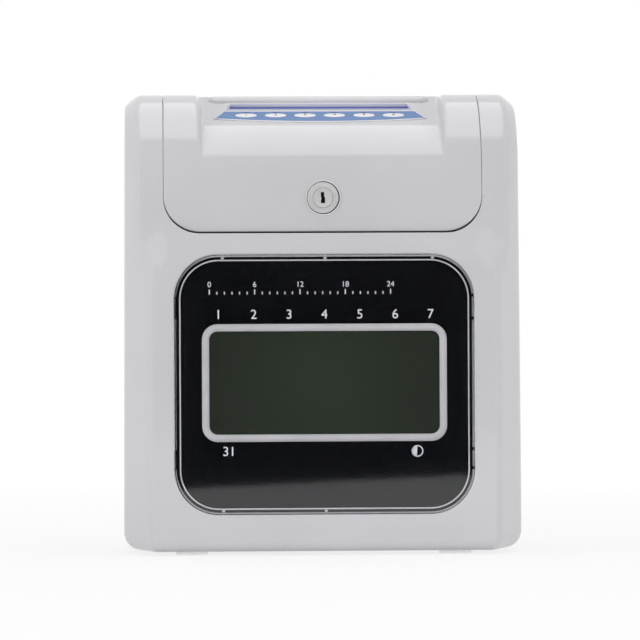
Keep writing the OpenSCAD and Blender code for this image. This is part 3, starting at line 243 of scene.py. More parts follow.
# %% [markdown]
# ## Finishes
# The casing is glossy moulded plastic: a pale cool grey with a very faint mottle, and a skin that is not
# quite flat, so that reflections waver a little. Steel, brass, rubber, circuit board and ribbon each get
# a finish of their own. Patterns read Object coordinates, since every piece sits at the origin with its
# place in its mesh.

# %% Node helpers
def linear(r, g, b):
    """A colour written as on a screen, 0 to 255, as the linear value that a shader takes."""
    c = np.array([r, g, b]) / 255
    low = c / 12.92
    high = ((c + 0.055) / 1.055) ** 2.4
    return (*np.where(c <= 0.04045, low, high), 1.0)


class Finish:
    """A material with a Principled shader, and short ways to add what varies over its surface."""

    def __init__(self, name, **sockets):
        self.material = bpy.data.materials.new(name)
        self.material.use_nodes = True
        self.nodes = self.material.node_tree.nodes
        self.links = self.material.node_tree.links
        self.shader = self.nodes["Principled BSDF"]
        self.place = self.nodes.new("ShaderNodeTexCoord").outputs["Object"]
        for socket, value in sockets.items():
            self.shader.inputs[socket.replace("_", " ")].default_value = value

    def mapped(self, scale, turn=(0, 0, 0), shift=(0, 0, 0)):
        """Object coordinates through a Mapping node."""
        mapping = self.nodes.new("ShaderNodeMapping")
        mapping.inputs["Scale"].default_value = scale
        mapping.inputs["Rotation"].default_value = turn
        mapping.inputs["Location"].default_value = shift
        self.links.new(self.place, mapping.inputs["Vector"])
        return mapping.outputs["Vector"]

    def noise(self, scale, detail=3, stretch=(1, 1, 1)):
        """A noise whose grain is about one over scale, in metres."""
        noise = self.nodes.new("ShaderNodeTexNoise")
        noise.inputs["Scale"].default_value = scale
        noise.inputs["Detail"].default_value = detail
        self.links.new(self.mapped(stretch), noise.inputs["Vector"])
        return noise.outputs["Fac"]

    def ramp(self, factor, stops):
        """Colours between stops of (position, colour)."""
        ramp = self.nodes.new("ShaderNodeValToRGB")
        for _ in range(len(stops) - 2):
            ramp.color_ramp.elements.new(0.5)
        for element, (position, colour) in zip(ramp.color_ramp.elements, stops):
            element.position = position
            element.color = colour
        self.links.new(factor, ramp.inputs["Fac"])
        return ramp.outputs["Color"]

    def spread(self, factor, low, high):
        """A factor of 0 to 1 spread over low to high."""
        span = self.nodes.new("ShaderNodeMapRange")
        span.inputs["To Min"].default_value = low
        span.inputs["To Max"].default_value = high
        self.links.new(factor, span.inputs["Value"])
        return span.outputs["Result"]

    def to(self, socket, output):
        """Links an output to a socket of the shader."""
        self.links.new(output, self.shader.inputs[socket])
        return self

    def bump(self, height, strength, distance):
        """Raises the surface by a height pattern."""
        bump = self.nodes.new("ShaderNodeBump")
        bump.inputs["Strength"].default_value = strength
        bump.inputs["Distance"].default_value = distance * MM
        self.links.new(height, bump.inputs["Height"])
        return self.to("Normal", bump.outputs["Normal"])


MOTTLE_STOPS, MOTTLE_BUMP = (0.35, 0.65), 0.35
LINE_STOPS, LINE_GRAIN, LINE_BUMP, LINE_DEPTH = (0.3, 0.7), 900, 0.12, 0.02


def two_tones(stops, dark, light):
    """Stops of a ramp from a dark to a light colour, both written as on a screen."""
    return [(stops[0], linear(*dark)), (stops[1], linear(*light))]


def mottled(name, dark, light, scale, rough, bump_scale, bump_mm, **sockets):
    """A finish whose colour and gloss drift a little and whose skin is slightly uneven."""
    finish = Finish(name, **sockets)
    drift = finish.noise(scale)
    finish.to("Base Color", finish.ramp(drift, two_tones(MOTTLE_STOPS, dark, light)))
    finish.to("Roughness", finish.spread(drift, *rough))
    finish.bump(finish.noise(bump_scale, 2), MOTTLE_BUMP, bump_mm)
    return finish.material


def printed(name, dark, light, **sockets):
    """A thin layer of dry ink: nearly matt, with a fine grain."""
    return mottled(name, dark, light, 90, (0.45, 0.55), 900, 0.005, **sockets)


def brushed(name, dark, light, rough, stretch):
    """Metal with fine lines along one way."""
    finish = Finish(name, Metallic=1.0)
    lines = finish.noise(LINE_GRAIN, 4, stretch)
    finish.to("Base Color", finish.ramp(lines, two_tones(LINE_STOPS, dark, light)))
    finish.to("Roughness", finish.spread(lines, *rough))
    finish.bump(lines, LINE_BUMP, LINE_DEPTH)
    return finish.material


print("node helpers ready")


# %% The clock's own finishes
SHELL = mottled("shell_plastic", (207, 206, 210), (211, 210, 214), 14, (0.08, 0.11), 260, 0.004)
KEY_WHITE = mottled("key_plastic", (226, 226, 231), (233, 233, 237), 30, (0.28, 0.36), 500, 0.01)
LENS = Finish("lens_clear", Roughness=0.03, IOR=1.46, Transmission_Weight=1.0)
LENS.to("Base Color", LENS.ramp(LENS.noise(20), two_tones(LINE_STOPS, (246, 247, 250), (250, 251, 254))))
# what lies bonded behind the window has hardly any gloss of its own
BONDED = {"Specular_IOR_Level": 0.05}
PANEL = mottled("panel_print", (9, 10, 13), (12, 13, 16), 60, (0.5, 0.6), 900, 0.005, **BONDED)
PRINT_GREY = printed("border_print", (199, 197, 198), (206, 204, 205), **BONDED)
PRINT_WHITE = printed("figure_print", (232, 232, 236), (240, 240, 244), **BONDED)
PRINT_BLUE = printed("key_mark_print", (48, 66, 130), (56, 76, 142))
PRINT_DARK = printed("key_figure_print", (92, 92, 100), (104, 104, 112))
KEYPAD = mottled("keypad_film", (68, 112, 170), (77, 121, 178), 40, (0.38, 0.46), 700, 0.008)
LOCK = mottled("lock_plating", (211, 210, 211), (219, 218, 219), 80, (0.3, 0.38), 700, 0.01, Metallic=0.2)
# near white: a painted highlight for the bright ring round the lock's edge
COLLAR_HIGHLIGHT = mottled("collar_painted_highlight", (242, 242, 244), (248, 248, 250), 80, (0.12, 0.18), 700, 0.005)
# near black with hardly any gloss: painted shade for the deep key slot and the gap round the lock
KEYWAY_SHADE = mottled("keyway_painted_shade", (10, 10, 11), (16, 16, 17), 300, (0.6, 0.7), 900, 0.01, **BONDED)
STEEL = brushed("zinc_plate", (150, 153, 158), (184, 187, 191), (0.32, 0.46), (1, 1, 0.06))
SHAFT = brushed("ground_steel", (168, 170, 174), (202, 204, 207), (0.18, 0.3), (0.05, 1, 1))
BRASS = brushed("turned_brass", (176, 138, 70), (205, 166, 92), (0.25, 0.38), (0.3, 1, 1))
BLACK = mottled("black_moulding", (30, 30, 32), (38, 38, 41), 40, (0.42, 0.55), 700, 0.02)
RUBBER = mottled("black_rubber", (26, 26, 27), (35, 35, 36), 90, (0.7, 0.82), 800, 0.03)
FOOT_RUBBER = mottled("clear_silicone", (240, 241, 243), (246, 247, 249), 90, (0.25, 0.35), 800, 0.03,
                      IOR=1.41, Transmission_Weight=0.9)
NYLON = mottled("natural_nylon", (226, 223, 212), (236, 233, 224), 40, (0.36, 0.46), 400, 0.01)
CELL = mottled("cell_sleeve", (52, 88, 140), (62, 98, 150), 40, (0.3, 0.4), 300, 0.01)
print("finishes:", len(bpy.data.materials))

# %% [markdown]
# The display is switched off: a dark grey-green glass with a slightly lighter middle. The ribbon is woven
# and inked, and the boards carry a faint net of copper lines under green lacquer. The slot's blue liner
# has a pale upper band of painted light, where light falls on its back wall; the tones follow the height.

# %% Display, ribbon, board and liner finishes
LENS_MID = (LENS_LOW + LENS_HIGH) / 2
GLOW_R = 95
# heights where the liner passes from its own blue to the pale band of painted light above
PAINTED_LIGHT_LOW, PAINTED_LIGHT_HIGH = 225.2, 227.4


def display_glass():
    """Dark glass: the colour follows the distance from the middle of the display."""
    finish = Finish("display_glass", Roughness=0.3, **BONDED)
    gradient = finish.nodes.new("ShaderNodeTexGradient")
    gradient.gradient_type = "SPHERICAL"
    reach = 1 / (GLOW_R * MM)
    middle = LENS_MID * MM * -reach
    finish.links.new(finish.mapped((reach, reach, reach), shift=middle), gradient.inputs["Vector"])
    stops = [(0.2, linear(41, 45, 38)), (0.9, linear(49, 57, 46))]
    finish.to("Base Color", finish.ramp(gradient.outputs["Fac"], stops))
    finish.bump(finish.noise(600, 2), 0.1, 0.004)
    return finish.material


def woven_ribbon():
    """Inked cloth: a fine chequer of raised and sunken threads, as where warp and weft cross."""
    finish = Finish("inked_ribbon", Roughness=0.85)
    weave = finish.nodes.new("ShaderNodeTexChecker")
    weave.inputs["Scale"].default_value = 2600
    finish.links.new(finish.place, weave.inputs["Vector"])
    stops = [(0, linear(22, 18, 32)), (1, linear(40, 34, 54))]
    finish.to("Base Color", finish.ramp(weave.outputs["Fac"], stops))
    finish.bump(weave.outputs["Fac"], 0.5, 0.05)
    return finish.material


def circuit_board():
    """Green lacquer over copper: the cells of a Voronoi net leave thin lighter lines."""
    finish = Finish("circuit_board", Roughness=0.4)
    net = finish.nodes.new("ShaderNodeTexVoronoi")
    net.feature = "DISTANCE_TO_EDGE"
    net.distance = "MANHATTAN"
    net.inputs["Scale"].default_value = 260
    finish.links.new(finish.place, net.inputs["Vector"])
    stops = [(0.02, linear(52, 118, 74)), (0.06, linear(24, 84, 52))]
    finish.to("Base Color", finish.ramp(net.outputs["Distance"], stops))
    finish.bump(net.outputs["Distance"], 0.2, 0.05)
    return finish.material


def slot_lining():
    """Blue plastic with a pale band of painted light above a line along the slot's back wall."""
    finish = Finish("slot_lining", Roughness=0.35)
    height = finish.nodes.new("ShaderNodeSeparateXYZ")
    finish.links.new(finish.place, height.inputs["Vector"])
    share = finish.nodes.new("ShaderNodeMapRange")
    share.inputs["From Min"].default_value = PAINTED_LIGHT_LOW * MM
    share.inputs["From Max"].default_value = PAINTED_LIGHT_HIGH * MM
    finish.links.new(height.outputs["Z"], share.inputs["Value"])
    # the blue is the liner's own; the pale tone above is painted light on the top of its back wall
    blue, pale = linear(132, 142, 208), linear(214, 216, 232)
    finish.to("Base Color", finish.ramp(share.outputs["Result"], [(0.42, blue), (0.58, pale)]))
    finish.bump(finish.noise(500, 2), 0.2, 0.01)
    return finish.material


DISPLAY = display_glass()
RIBBON = woven_ribbon()
BOARD = circuit_board()
LINER_PAINTED_LIGHT = slot_lining()
print("display, ribbon, board and liner finishes ready")

# %% [markdown]
# ## The front of the casing
# The front shell is one skin that is flat behind the display, steps back in a soft brow below the door,
# and rolls over into the top. Slanting flanks join it to the sides. A skin like this can be lofted: six
# section curves, from the middle to the rear of the side wall, and weights that pass from one to the next
# and round each crease. The lines across the front are chosen so that some of them run exactly along the
# edge of the display pocket and of the door opening. Then both openings need no cutting.

# %% Sizes of the casing
FRONT_Y = CASE_LOW[1]
UPPER_Y = DOOR_LOW[1]
SEAM_Y = CASE_HIGH[1]
FOOT_Z = CASE_LOW[2]
TOP_Z = CASE_HIGH[2]
SIDE_X = CASE_HIGH[0]
FLANK_W, FLANK_D = 13, 24
SIDE_Y = FRONT_Y + FLANK_D
EDGE_X = SIDE_X - FLANK_W
BROW_X = EDGE_X + FLANK_W * (UPPER_Y - FRONT_Y) / FLANK_D
FLAT_X = LENS_HIGH[0] + 2
TOP_R = 46
TOP_CY = UPPER_Y + TOP_R
SIDE_TOP = TOP_Z - 5.5
SIDE_R = TOP_CY - SIDE_Y
SIDE_DRAFT = 1.2
FOOT_R, FOOT_CORNER_R = 5, 9
SAG, SAG_TOP = 2.2, 70
LENS_TOP, LENS_R = LENS_HIGH[2], 22
LIP_R = 0.5
POCKET_GAP = 0.2 + LIP_R
POCKET_R = LENS_R + POCKET_GAP
POCKET_X = LENS_HIGH[0] + POCKET_GAP
POCKET_LOW, POCKET_HIGH = LENS_LOW[2] - POCKET_GAP, LENS_TOP + POCKET_GAP
POCKET_FLOOR = LENS_HIGH[1] + 0.4
SIDE_GAP, FOOT_GAP = 0.1 + LIP_R, 0.9 + LIP_R
DOOR_R = 18
OPENING_X = DOOR_HIGH[0] + SIDE_GAP
OPENING_LOW = DOOR_LOW[2] - FOOT_GAP
OPENING_R = DOOR_R + SIDE_GAP
CORNER_Z = OPENING_LOW + OPENING_R
RETURN_Y = UPPER_Y + 11.5
WALL = 2.0
BROW_MID = (LENS_TOP - 6, LENS_TOP + 22)
BROW_SIDE = (LENS_TOP - 17, LENS_TOP + 15)

# columns: X, front below the brow, front above it, and where the brow starts and ends
SECTIONS = np.array([
    [0, FRONT_Y, UPPER_Y, *BROW_MID],
    [FLAT_X, FRONT_Y, UPPER_Y, *BROW_MID],
    [EDGE_X, FRONT_Y, UPPER_Y, *BROW_SIDE],
    [BROW_X, UPPER_Y, UPPER_Y, *BROW_SIDE],
    [SIDE_X, SIDE_Y, SIDE_Y, *BROW_SIDE],
    [SIDE_X, SEAM_Y, SEAM_Y, *BROW_SIDE],
])
CASE_KNOTS = np.array([0, FLAT_X, EDGE_X, BROW_X, SIDE_X, SIDE_X + SEAM_Y - SIDE_Y])
CASE_ARMS = [0, 4.5, 2.4, 2.0, 2.4, 0]
print("front", FRONT_Y, "door front", UPPER_Y, "seam", SEAM_Y)


# %% The skin as a function of a line across and a height
def lean(points):
    """Leans the sides in towards the top and rounds the lower side corners."""
    x, z = points[..., 0], points[..., 2]
    share = np.clip((np.abs(x) - OPENING_X) / (SIDE_X - OPENING_X), 0, 1)
    draw_in = SIDE_DRAFT * z / TOP_Z + sagitta(FOOT_Z + FOOT_CORNER_R - z, FOOT_CORNER_R)
    points[..., 0] = x - np.sign(x) * share * draw_in
    return points


def front_skin(q, z):
    """Each section's depth is a sag at the foot, a flat and an eased step; weights at q mix the six."""
    weights = blend_weights(np.abs(q), CASE_KNOTS, CASE_ARMS)
    z = z[..., None]
    x, low, up, start, end = SECTIONS.T
    sag = SAG * np.clip((SAG_TOP - z) / (SAG_TOP - FOOT_Z - FOOT_R), 0, 1) ** 2
    depth = low + sag + (up - low) * ease((z - start) / (end - start)) + sagitta(FOOT_Z + FOOT_R - z, FOOT_R)
    depth[..., -1] = SEAM_Y
    return lean(stack_points(np.sign(q) * (weights @ x), (depth * weights).sum(axis=-1), z[..., 0]))


def top_skin(q, y, z):
    """Rows that give every section its own point (y, z), mixed by the weights at q."""
    weights = blend_weights(np.abs(q), CASE_KNOTS, CASE_ARMS)
    return lean(stack_points(np.sign(q) * (weights @ SECTIONS[:, 0]), y @ weights.T, z @ weights.T))


def corner_height(x, flat, low, radius):
    """Height of a rounded lower corner at x: the straight edge up to flat, then a quarter circle."""
    return low + sagitta(np.abs(x) - flat, radius)


quarter = np.sin(np.linspace(0, np.pi / 2, 12))
half_lines = np.unique(np.round(np.concatenate([
    np.linspace(0, POCKET_X - POCKET_R, 14),
    POCKET_X - POCKET_R + POCKET_R * quarter,
    OPENING_X - OPENING_R + OPENING_R * quarter,
    np.linspace(EDGE_X - 3, EDGE_X + 3, 11),
    np.linspace(BROW_X - 2.4, BROW_X + 2.4, 9),
    np.linspace(SIDE_X - 3, SIDE_X + 3, 11),
    np.linspace(SIDE_X + 5, CASE_KNOTS[-1], 8),
]), 6))
LINES = np.concatenate([-half_lines[:0:-1], half_lines])
print("lines across the front:", len(LINES))


# %% Bands of the front, from the foot to the seam
def rows(count):
    """Shares from 0 to 1 as a column."""
    return np.linspace(0, 1, count)[:, None]


ON_LINE = 1e-4


def sides_of(limit):
    """The lines at or beyond a distance from the middle, left and right."""
    return LINES[LINES <= -limit + ON_LINE], LINES[LINES >= limit - ON_LINE]


pocket_sag = corner_height(LINES, POCKET_X - POCKET_R, 0, POCKET_R)
pocket_low = POCKET_LOW + pocket_sag
pocket_high = POCKET_HIGH - pocket_sag
opening = corner_height(LINES, OPENING_X - OPENING_R, OPENING_LOW, OPENING_R)
foot_turn = FOOT_Z + FOOT_R * (1 - np.cos(rows(7) * np.pi / 2))
foot_band = front_skin(LINES, foot_turn + 0 * LINES)
low_band = front_skin(LINES, FOOT_Z + FOOT_R + rows(12) * (pocket_low - FOOT_Z - FOOT_R))
high_band = front_skin(LINES, pocket_high + rows(28) * (opening - pocket_high))
side_z = POCKET_LOW + POCKET_R + rows(16) * (POCKET_HIGH - POCKET_LOW - 2 * POCKET_R)
left_side, right_side = (front_skin(q, side_z + 0 * q) for q in sides_of(POCKET_X))

turn = rows(27) * np.pi / 2
arc_share = SIDE_R * np.pi / 2 / (SIDE_R * np.pi / 2 + SEAM_Y - TOP_CY)
main_top, side_mid = TOP_Z - TOP_R, SIDE_TOP - SIDE_R


def columns_of(main, side, spine):
    """Four columns of the main curve, one of the side's and one of the wall's rear edge."""
    return np.concatenate([main + np.zeros((1, 4)), side, spine], axis=1)


rise_y = columns_of(UPPER_Y + 0 * rows(6), SIDE_Y + 0 * rows(6), SEAM_Y + 0 * rows(6))
rise_z = columns_of(CORNER_Z + rows(6) * (main_top - CORNER_Z), CORNER_Z + rows(6) * (side_mid - CORNER_Z),
                    CORNER_Z + rows(6) * (side_mid - CORNER_Z))
bend_y = columns_of(TOP_CY - TOP_R * np.cos(turn), TOP_CY - SIDE_R * np.cos(turn), SEAM_Y + 0 * turn)
bend_z = columns_of(main_top + TOP_R * np.sin(turn), side_mid + SIDE_R * np.sin(turn),
                    side_mid + SIDE_R * arc_share * rows(27))
flat_run = TOP_CY + rows(7) * (SEAM_Y - TOP_CY)
flat_y = columns_of(flat_run, flat_run, SEAM_Y + 0 * flat_run)
flat_z = columns_of(TOP_Z + 0 * flat_run, SIDE_TOP + 0 * flat_run,
                    side_mid + SIDE_R * (arc_share + (1 - arc_share) * rows(7)))
column_y = np.concatenate([rise_y, bend_y[1:], flat_y[1:]])
column_z = np.concatenate([rise_z, bend_z[1:], flat_z[1:]])
left_column, right_column = (top_skin(q, column_y, column_z) for q in sides_of(OPENING_X))
print("bands:", low_band.shape, high_band.shape, right_column.shape)

# %% Walls of the door opening and the display pocket
WALL_ROWS = 8
BACKWARDS = np.array([0, 1, 0])
lip_turn = (rows(6) * np.pi / 2)[..., None]


def lip(edge, inward, back):
    """A quarter circle along an edge: it starts along inward and ends along back, both unit directions."""
    return edge + LIP_R * (np.sin(lip_turn) * inward + (1 - np.cos(lip_turn)) * back)


def ruled(turned, foot):
    """A lip carried on from its last row to a foot line, straight between points of equal place."""
    run = turned[-1] + rows(WALL_ROWS)[..., None] * (foot - turned[-1])
    return np.concatenate([turned, run[1:]])


inside = np.abs(LINES) <= OPENING_X + ON_LINE
sill = high_band[-1, inside]
sill_in_x = -np.sign(sill[:, 0]) * np.clip(np.abs(sill[:, 0]) - OPENING_X + OPENING_R, 0, None) / OPENING_R
sill_in = stack_points(sill_in_x, 0, np.sqrt(np.clip(1 - sill_in_x**2, 0, 1)))
sill_lip = lip(sill, sill_in, BACKWARDS)
sill_end = sill_lip[-1].copy()
sill_end[:, 1] = RETURN_Y
sill_wall = ruled(sill_lip, sill_end)
column_turn = np.concatenate([0 * rows(6), turn[1:], 0 * rows(7)[1:] + np.pi / 2])
column_back = stack_points(0, np.cos(column_turn[:, 0]), -np.sin(column_turn[:, 0]))


def column_wall(edge, side):
    """The lip and then a flat wall to a line low behind it, ruled between points of equal share."""
    turned = lip(edge, np.array([-side, 0, 0]), column_back)
    foot = turned[-1].copy()
    foot[:, 1] = np.linspace(RETURN_Y, SEAM_Y, len(edge))
    foot[:, 2] = CORNER_Z
    return ruled(turned, foot)


right_wall = column_wall(right_column[:, 0], 1).swapaxes(0, 1)[:, ::-1]
left_wall = column_wall(left_column[:, -1], -1).swapaxes(0, 1)
within = np.abs(LINES) <= POCKET_X + ON_LINE
pocket_edge = np.concatenate([low_band[-1, within], right_side[1:-1, 0], high_band[0, within][::-1],
                              left_side[1:-1, -1][::-1]])
edge_plan = pocket_edge[:, [0, 2]]
edge_in = offset_loop(edge_plan, -1) - edge_plan
pocket_lip = lip(pocket_edge, stack_points(edge_in[:, 0], 0, edge_in[:, 1]), BACKWARDS)
floor_edge = pocket_lip[-1].copy()
floor_edge[:, 1] = POCKET_FLOOR
LEDGE = 0.8
floor_inner = LENS_MID + (floor_edge - LENS_MID) * [LEDGE, 0, LEDGE]
floor_inner[:, 1] = POCKET_FLOOR
pocket = close_loop(np.concatenate([pocket_lip, [floor_edge, floor_inner]]))
case_mesh = grid_mesh("front_case_shell", [
    foot_band, low_band, high_band, left_side, right_side, left_column, right_column,
    sill_wall, left_wall, right_wall, pocket,
])
front_case = add_piece(case_mesh, SHELL, "root", ["front_case"])
crisp(case_mesh, angle=50)
thicken(front_case, WALL)
even_shading(front_case)

# %% [markdown]
# ## The rear cover
# The cover is a tray: the casing's outline carried along the depth, drawn in round a soft rear edge. Its
# flat back has vents, two keyholes and a round hole for the supply socket, so it is a flat curve with
# holes that Blender fills.

# %% Rear cover
SEAM_GAP = 0.35
BACK_Y, BACK_R = REAR_HIGH[1], 6
SKIRT, REAR_EDGE_R, LEAST_R, R_LOSS = 8, 3, 2, 0.3
SHOULDER_X = BROW_X - SIDE_DRAFT * 0.6
REAR_TOP_X = SIDE_X - SIDE_DRAFT * SIDE_TOP / TOP_Z
REAR_CORNERS = [(SIDE_X, FOOT_Z), (REAR_TOP_X, SIDE_TOP), (SHOULDER_X, TOP_Z),
                (-SHOULDER_X, TOP_Z), (-REAR_TOP_X, SIDE_TOP), (-SIDE_X, FOOT_Z)]
REAR_RADII = np.array([FOOT_CORNER_R, *[REAR_EDGE_R] * 4, FOOT_CORNER_R])


def rear_ring(y, inset):
    """The outline of the casing at depth y, drawn in by inset with corners that stay round."""
    radii = np.maximum(REAR_RADII - R_LOSS * inset, LEAST_R)
    loop = rounded_polygon(inset_polygon(REAR_CORNERS, inset), radii, 8)
    return stack_points(loop[:, 0], y, loop[:, 1])


def drawn_mesh(name, curve):
    """The mesh of a filled curve or of text, its equal points merged. The curve itself is removed."""
    drawn = bpy.data.objects.new(name, curve)
    bpy.context.scene.collection.objects.link(drawn)
    mesh = bpy.data.meshes.new_from_object(drawn.evaluated_get(bpy.context.evaluated_depsgraph_get()))
    bpy.data.objects.remove(drawn)
    bpy.data.curves.remove(curve)
    mesh.name = name
    return welded(mesh)


def flat_plate(name, loops, thickness):
    """A flat curve, the first loop its edge and the rest holes, filled, given thickness and made a mesh."""
    curve = bpy.data.curves.new(name, "CURVE")
    curve.dimensions = "2D"
    curve.fill_mode = "BOTH"
    curve.extrude = thickness * MM / 2
    for loop in loops:
        spline = curve.splines.new("POLY")
        spline.points.add(len(loop) - 1)
        corners = np.column_stack([loop * MM, np.zeros(len(loop)), np.ones(len(loop))])
        spline.points.foreach_set("co", corners.ravel())
        spline.use_cyclic_u = True
    return crisp(drawn_mesh(name, curve))


def rounded_rectangle(x, z, width, height, radius, steps):
    """A rectangle about (x, z), drawn anticlockwise, whose corners are arcs of the radius."""
    corners = np.array([(-1, -1), (1, -1), (1, 1), (-1, 1)]) * [width / 2, height / 2] + [x, z]
    return rounded_polygon(corners, [radius] * 4, steps)


def oval_loop(x, z, width, height):
    """A slot with round ends about (x, z)."""
    return rounded_rectangle(x, z, width, height, min(width, height) / 2 - 0.01, 9)


def centred(count, pitch):
    """Places of a row of even steps about the middle."""
    return (np.arange(count) - (count - 1) / 2) * pitch


def circle_loop(x, z, radius, start=0.0, sweep=2 * np.pi, count=40):
    """Points of a circle, or of a part of it, about (x, z)."""
    angle = start + sweep * np.arange(count) / count
    return np.column_stack([x + radius * np.cos(angle), z + radius * np.sin(angle)])


def keyhole_loop(x, z, radius, slot_radius, rise):
    """A round entry below a narrow slot that ends in a half circle."""
    mouth = math.asin(slot_radius / radius)
    entry = circle_loop(x, z, radius, np.pi / 2 + mouth, 2 * np.pi - 2 * mouth, 32)
    entry = np.vstack([entry, [x + slot_radius, z + radius * math.cos(mouth)]])
    return np.vstack([entry, circle_loop(x, z + rise, slot_radius, 0, np.pi, 12),
                      [x - slot_radius, z + rise]])


edge_turn = np.linspace(0, np.pi / 2, 9)
ring_y = np.concatenate([
    [REAR_LOW[1] + SEAM_GAP, REAR_LOW[1] + SKIRT],
    BACK_Y - BACK_R + BACK_R * np.sin(edge_turn),
])
ring_in = np.concatenate([[0, 0], BACK_R * (1 - np.cos(edge_turn))])
tray = close_loop(np.stack([rear_ring(y, inset) for y, inset in zip(ring_y, ring_in)]))[::-1]
rear_mesh = grid_mesh("rear_case_shell", [tray])
rear_case = add_piece(rear_mesh, SHELL, "root", ["rear_case"])
thicken(rear_case, WALL)
even_shading(rear_case)

# %% Back panel of the cover
VENTS, VENT_PITCH, VENT_W, VENT_H, VENT_Z = 9, 8, 2.5, 34, 118
KEYHOLE_X, KEYHOLE_Z = 50, 186
KEYHOLE_R, KEYHOLE_SLOT_R, KEYHOLE_RISE = 4.5, 2.3, 9
SCREW_X, SCREW_Z, SCREW_HOLE_R = SIDE_X - 10.5, (34, SIDE_TOP - 15), 2.95
INLET_LOW, INLET_HIGH = node_box("dc_inlet")
INLET_MID = (INLET_LOW + INLET_HIGH) / 2
INLET_HOLE_R = 6.5
back_edge = rear_ring(BACK_Y, BACK_R)[:, [0, 2]]
holes = [oval_loop(x, VENT_Z, VENT_W, VENT_H) for x in centred(VENTS, VENT_PITCH)]
holes += [keyhole_loop(s * KEYHOLE_X, KEYHOLE_Z, KEYHOLE_R, KEYHOLE_SLOT_R, KEYHOLE_RISE) for s in (-1, 1)]
holes += [circle_loop(s * SCREW_X, z, SCREW_HOLE_R) for s in (-1, 1) for z in SCREW_Z]
holes += [circle_loop(INLET_MID[0], INLET_MID[2], INLET_HOLE_R)]
back_mesh = flat_plate("back_panel", [back_edge, *holes], WALL)
back_mesh.transform(Matrix.Translation((0, (BACK_Y - WALL / 2) * MM, 0)) @ Matrix.Rotation(np.pi / 2, 4, "X"))
add_piece(back_mesh, SHELL, "root")
print("holes in the back:", len(holes))

# %% [markdown]
# The floor of the casing fills the front shell's lower edge, so its outline is that edge drawn in a
# little. It runs on under the cover, and has four round wells for its screws. Behind the door's hinge a
# curved wall hangs from the cover's top: without it one would look past the hinge into the casing. It is
# an arc about the hinge, carried from side to side.

# %% Floor and hinge trough
FLOOR_T, FLOOR_GAP = 3.0, 0.3
FLOOR_REAR = np.array([90.6, BACK_Y - BACK_R])
WELL_X, WELL_Y, WELL_R = 86, (SIDE_Y + 8, BACK_Y - 14), 3.2
front_plan = foot_band[0][:, :2] * [1 - FLOOR_GAP / SIDE_X, 1] + [0, FLOOR_GAP]
floor_plan = np.vstack([front_plan, FLOOR_REAR, FLOOR_REAR * [-1, 1]])
wells = [circle_loop(side * WELL_X, y, WELL_R) for side in (-1, 1) for y in WELL_Y]
floor_mesh = flat_plate("base_floor", [floor_plan, *wells], FLOOR_T)
floor_mesh.transform(Matrix.Translation((0, 0, (FOOT_Z + FLOOR_T / 2) * MM)))
add_piece(floor_mesh, SHELL, "root", ["base_plate"])

HINGE_R = 9
HINGE_Y, HINGE_Z = DOOR_HIGH[1] - HINGE_R, TOP_Z - HINGE_R
TROUGH_T, TROUGH_ENDS, TROUGH_SWEEP = 1.6, OPENING_X - 0.6, -55
TROUGH_IN = REAR_LOW[1] + SEAM_GAP - HINGE_Y
trough_turn = np.radians(np.linspace(0, TROUGH_SWEEP, 12))


def trough_line(radius):
    """Depth and height: straight down from the cover's top, then round the hinge at the radius."""
    arc = np.column_stack([HINGE_Y + radius * np.cos(trough_turn), HINGE_Z + radius * np.sin(trough_turn)])
    return np.vstack([[HINGE_Y + radius, TOP_Z - WALL + FLOOR_GAP], arc])


trough_profile = np.vstack([trough_line(TROUGH_IN), trough_line(TROUGH_IN + TROUGH_T)[::-1]])
trough_x = np.array([-1, -1, 1, 1])[:, None] * TROUGH_ENDS
trough_end = np.tile(trough_profile.mean(axis=0), (len(trough_profile), 1))
trough_yz = np.stack([trough_end, trough_profile, trough_profile, trough_end])
trough = stack_points(trough_x, trough_yz[..., 0], trough_yz[..., 1])
add_piece(crisp(grid_mesh("hinge_trough", [close_loop(trough)])), SHELL, "root")

# %% [markdown]
# ## The flip-up door
# The door is a hood with the same big bend as the casing. Its middle is scooped out down to a ramp that
# carries the keys and the card slot. Two side curves are enough: the hood's and the scoop's, each a
# height over the depth. The weights pass from one to the other within a few millimetres, and that passage
# is the scoop's steep side wall, rounded where it meets the hood and the floor. The outer edge falls away
# in a quarter circle.

# %% Sizes of the door
DOOR_X = DOOR_HIGH[0]
DOOR_LOW_Z = DOOR_LOW[2]
DOOR_CORNER_Z = DOOR_LOW_Z + DOOR_R
SCOOP_X = 61
NOSE_R, NOSE_TURN, NOSE_LIFT = 25, np.radians(40), 1.4
NOSE_CY, NOSE_CZ = UPPER_Y + NOSE_R, main_top + NOSE_LIFT
BASIN_R = 70
BASIN_CY = NOSE_CY + (BASIN_R - NOSE_R) * np.sin(NOSE_TURN)
BASIN_CZ = NOSE_CZ - (BASIN_R - NOSE_R) * np.cos(NOSE_TURN)
RAMP = np.radians(23.6)
RAMP_Y = BASIN_CY - BASIN_R * np.sin(RAMP)
RAMP_Z = BASIN_CZ + BASIN_R * np.cos(RAMP)
LINER_LOW, LINER_HIGH = node_box("slot_liner")
EDGE_R, RIM_D = 0.8, 11
# the scoop's side wall: how far it reaches in and out from SCOOP_X, and its length along the skin
WALL_IN, WALL_OUT, WALL_RUN = 0.8, 0.9, 5
DOOR_X_AT = np.array([0, SCOOP_X - WALL_IN, SCOOP_X + WALL_OUT, DOOR_X])
DOOR_KNOTS = np.array([
    0, SCOOP_X - WALL_IN, SCOOP_X + WALL_RUN, SCOOP_X + WALL_RUN + DOOR_X - SCOOP_X - WALL_OUT,
])
DOOR_ARMS = [0, 1.7, 1.9, 0]


def hood_height(y):
    """A quarter circle from the front up to the flat top."""
    return main_top + np.sqrt(TOP_R**2 - np.clip(TOP_CY - y, 0, TOP_R) ** 2)


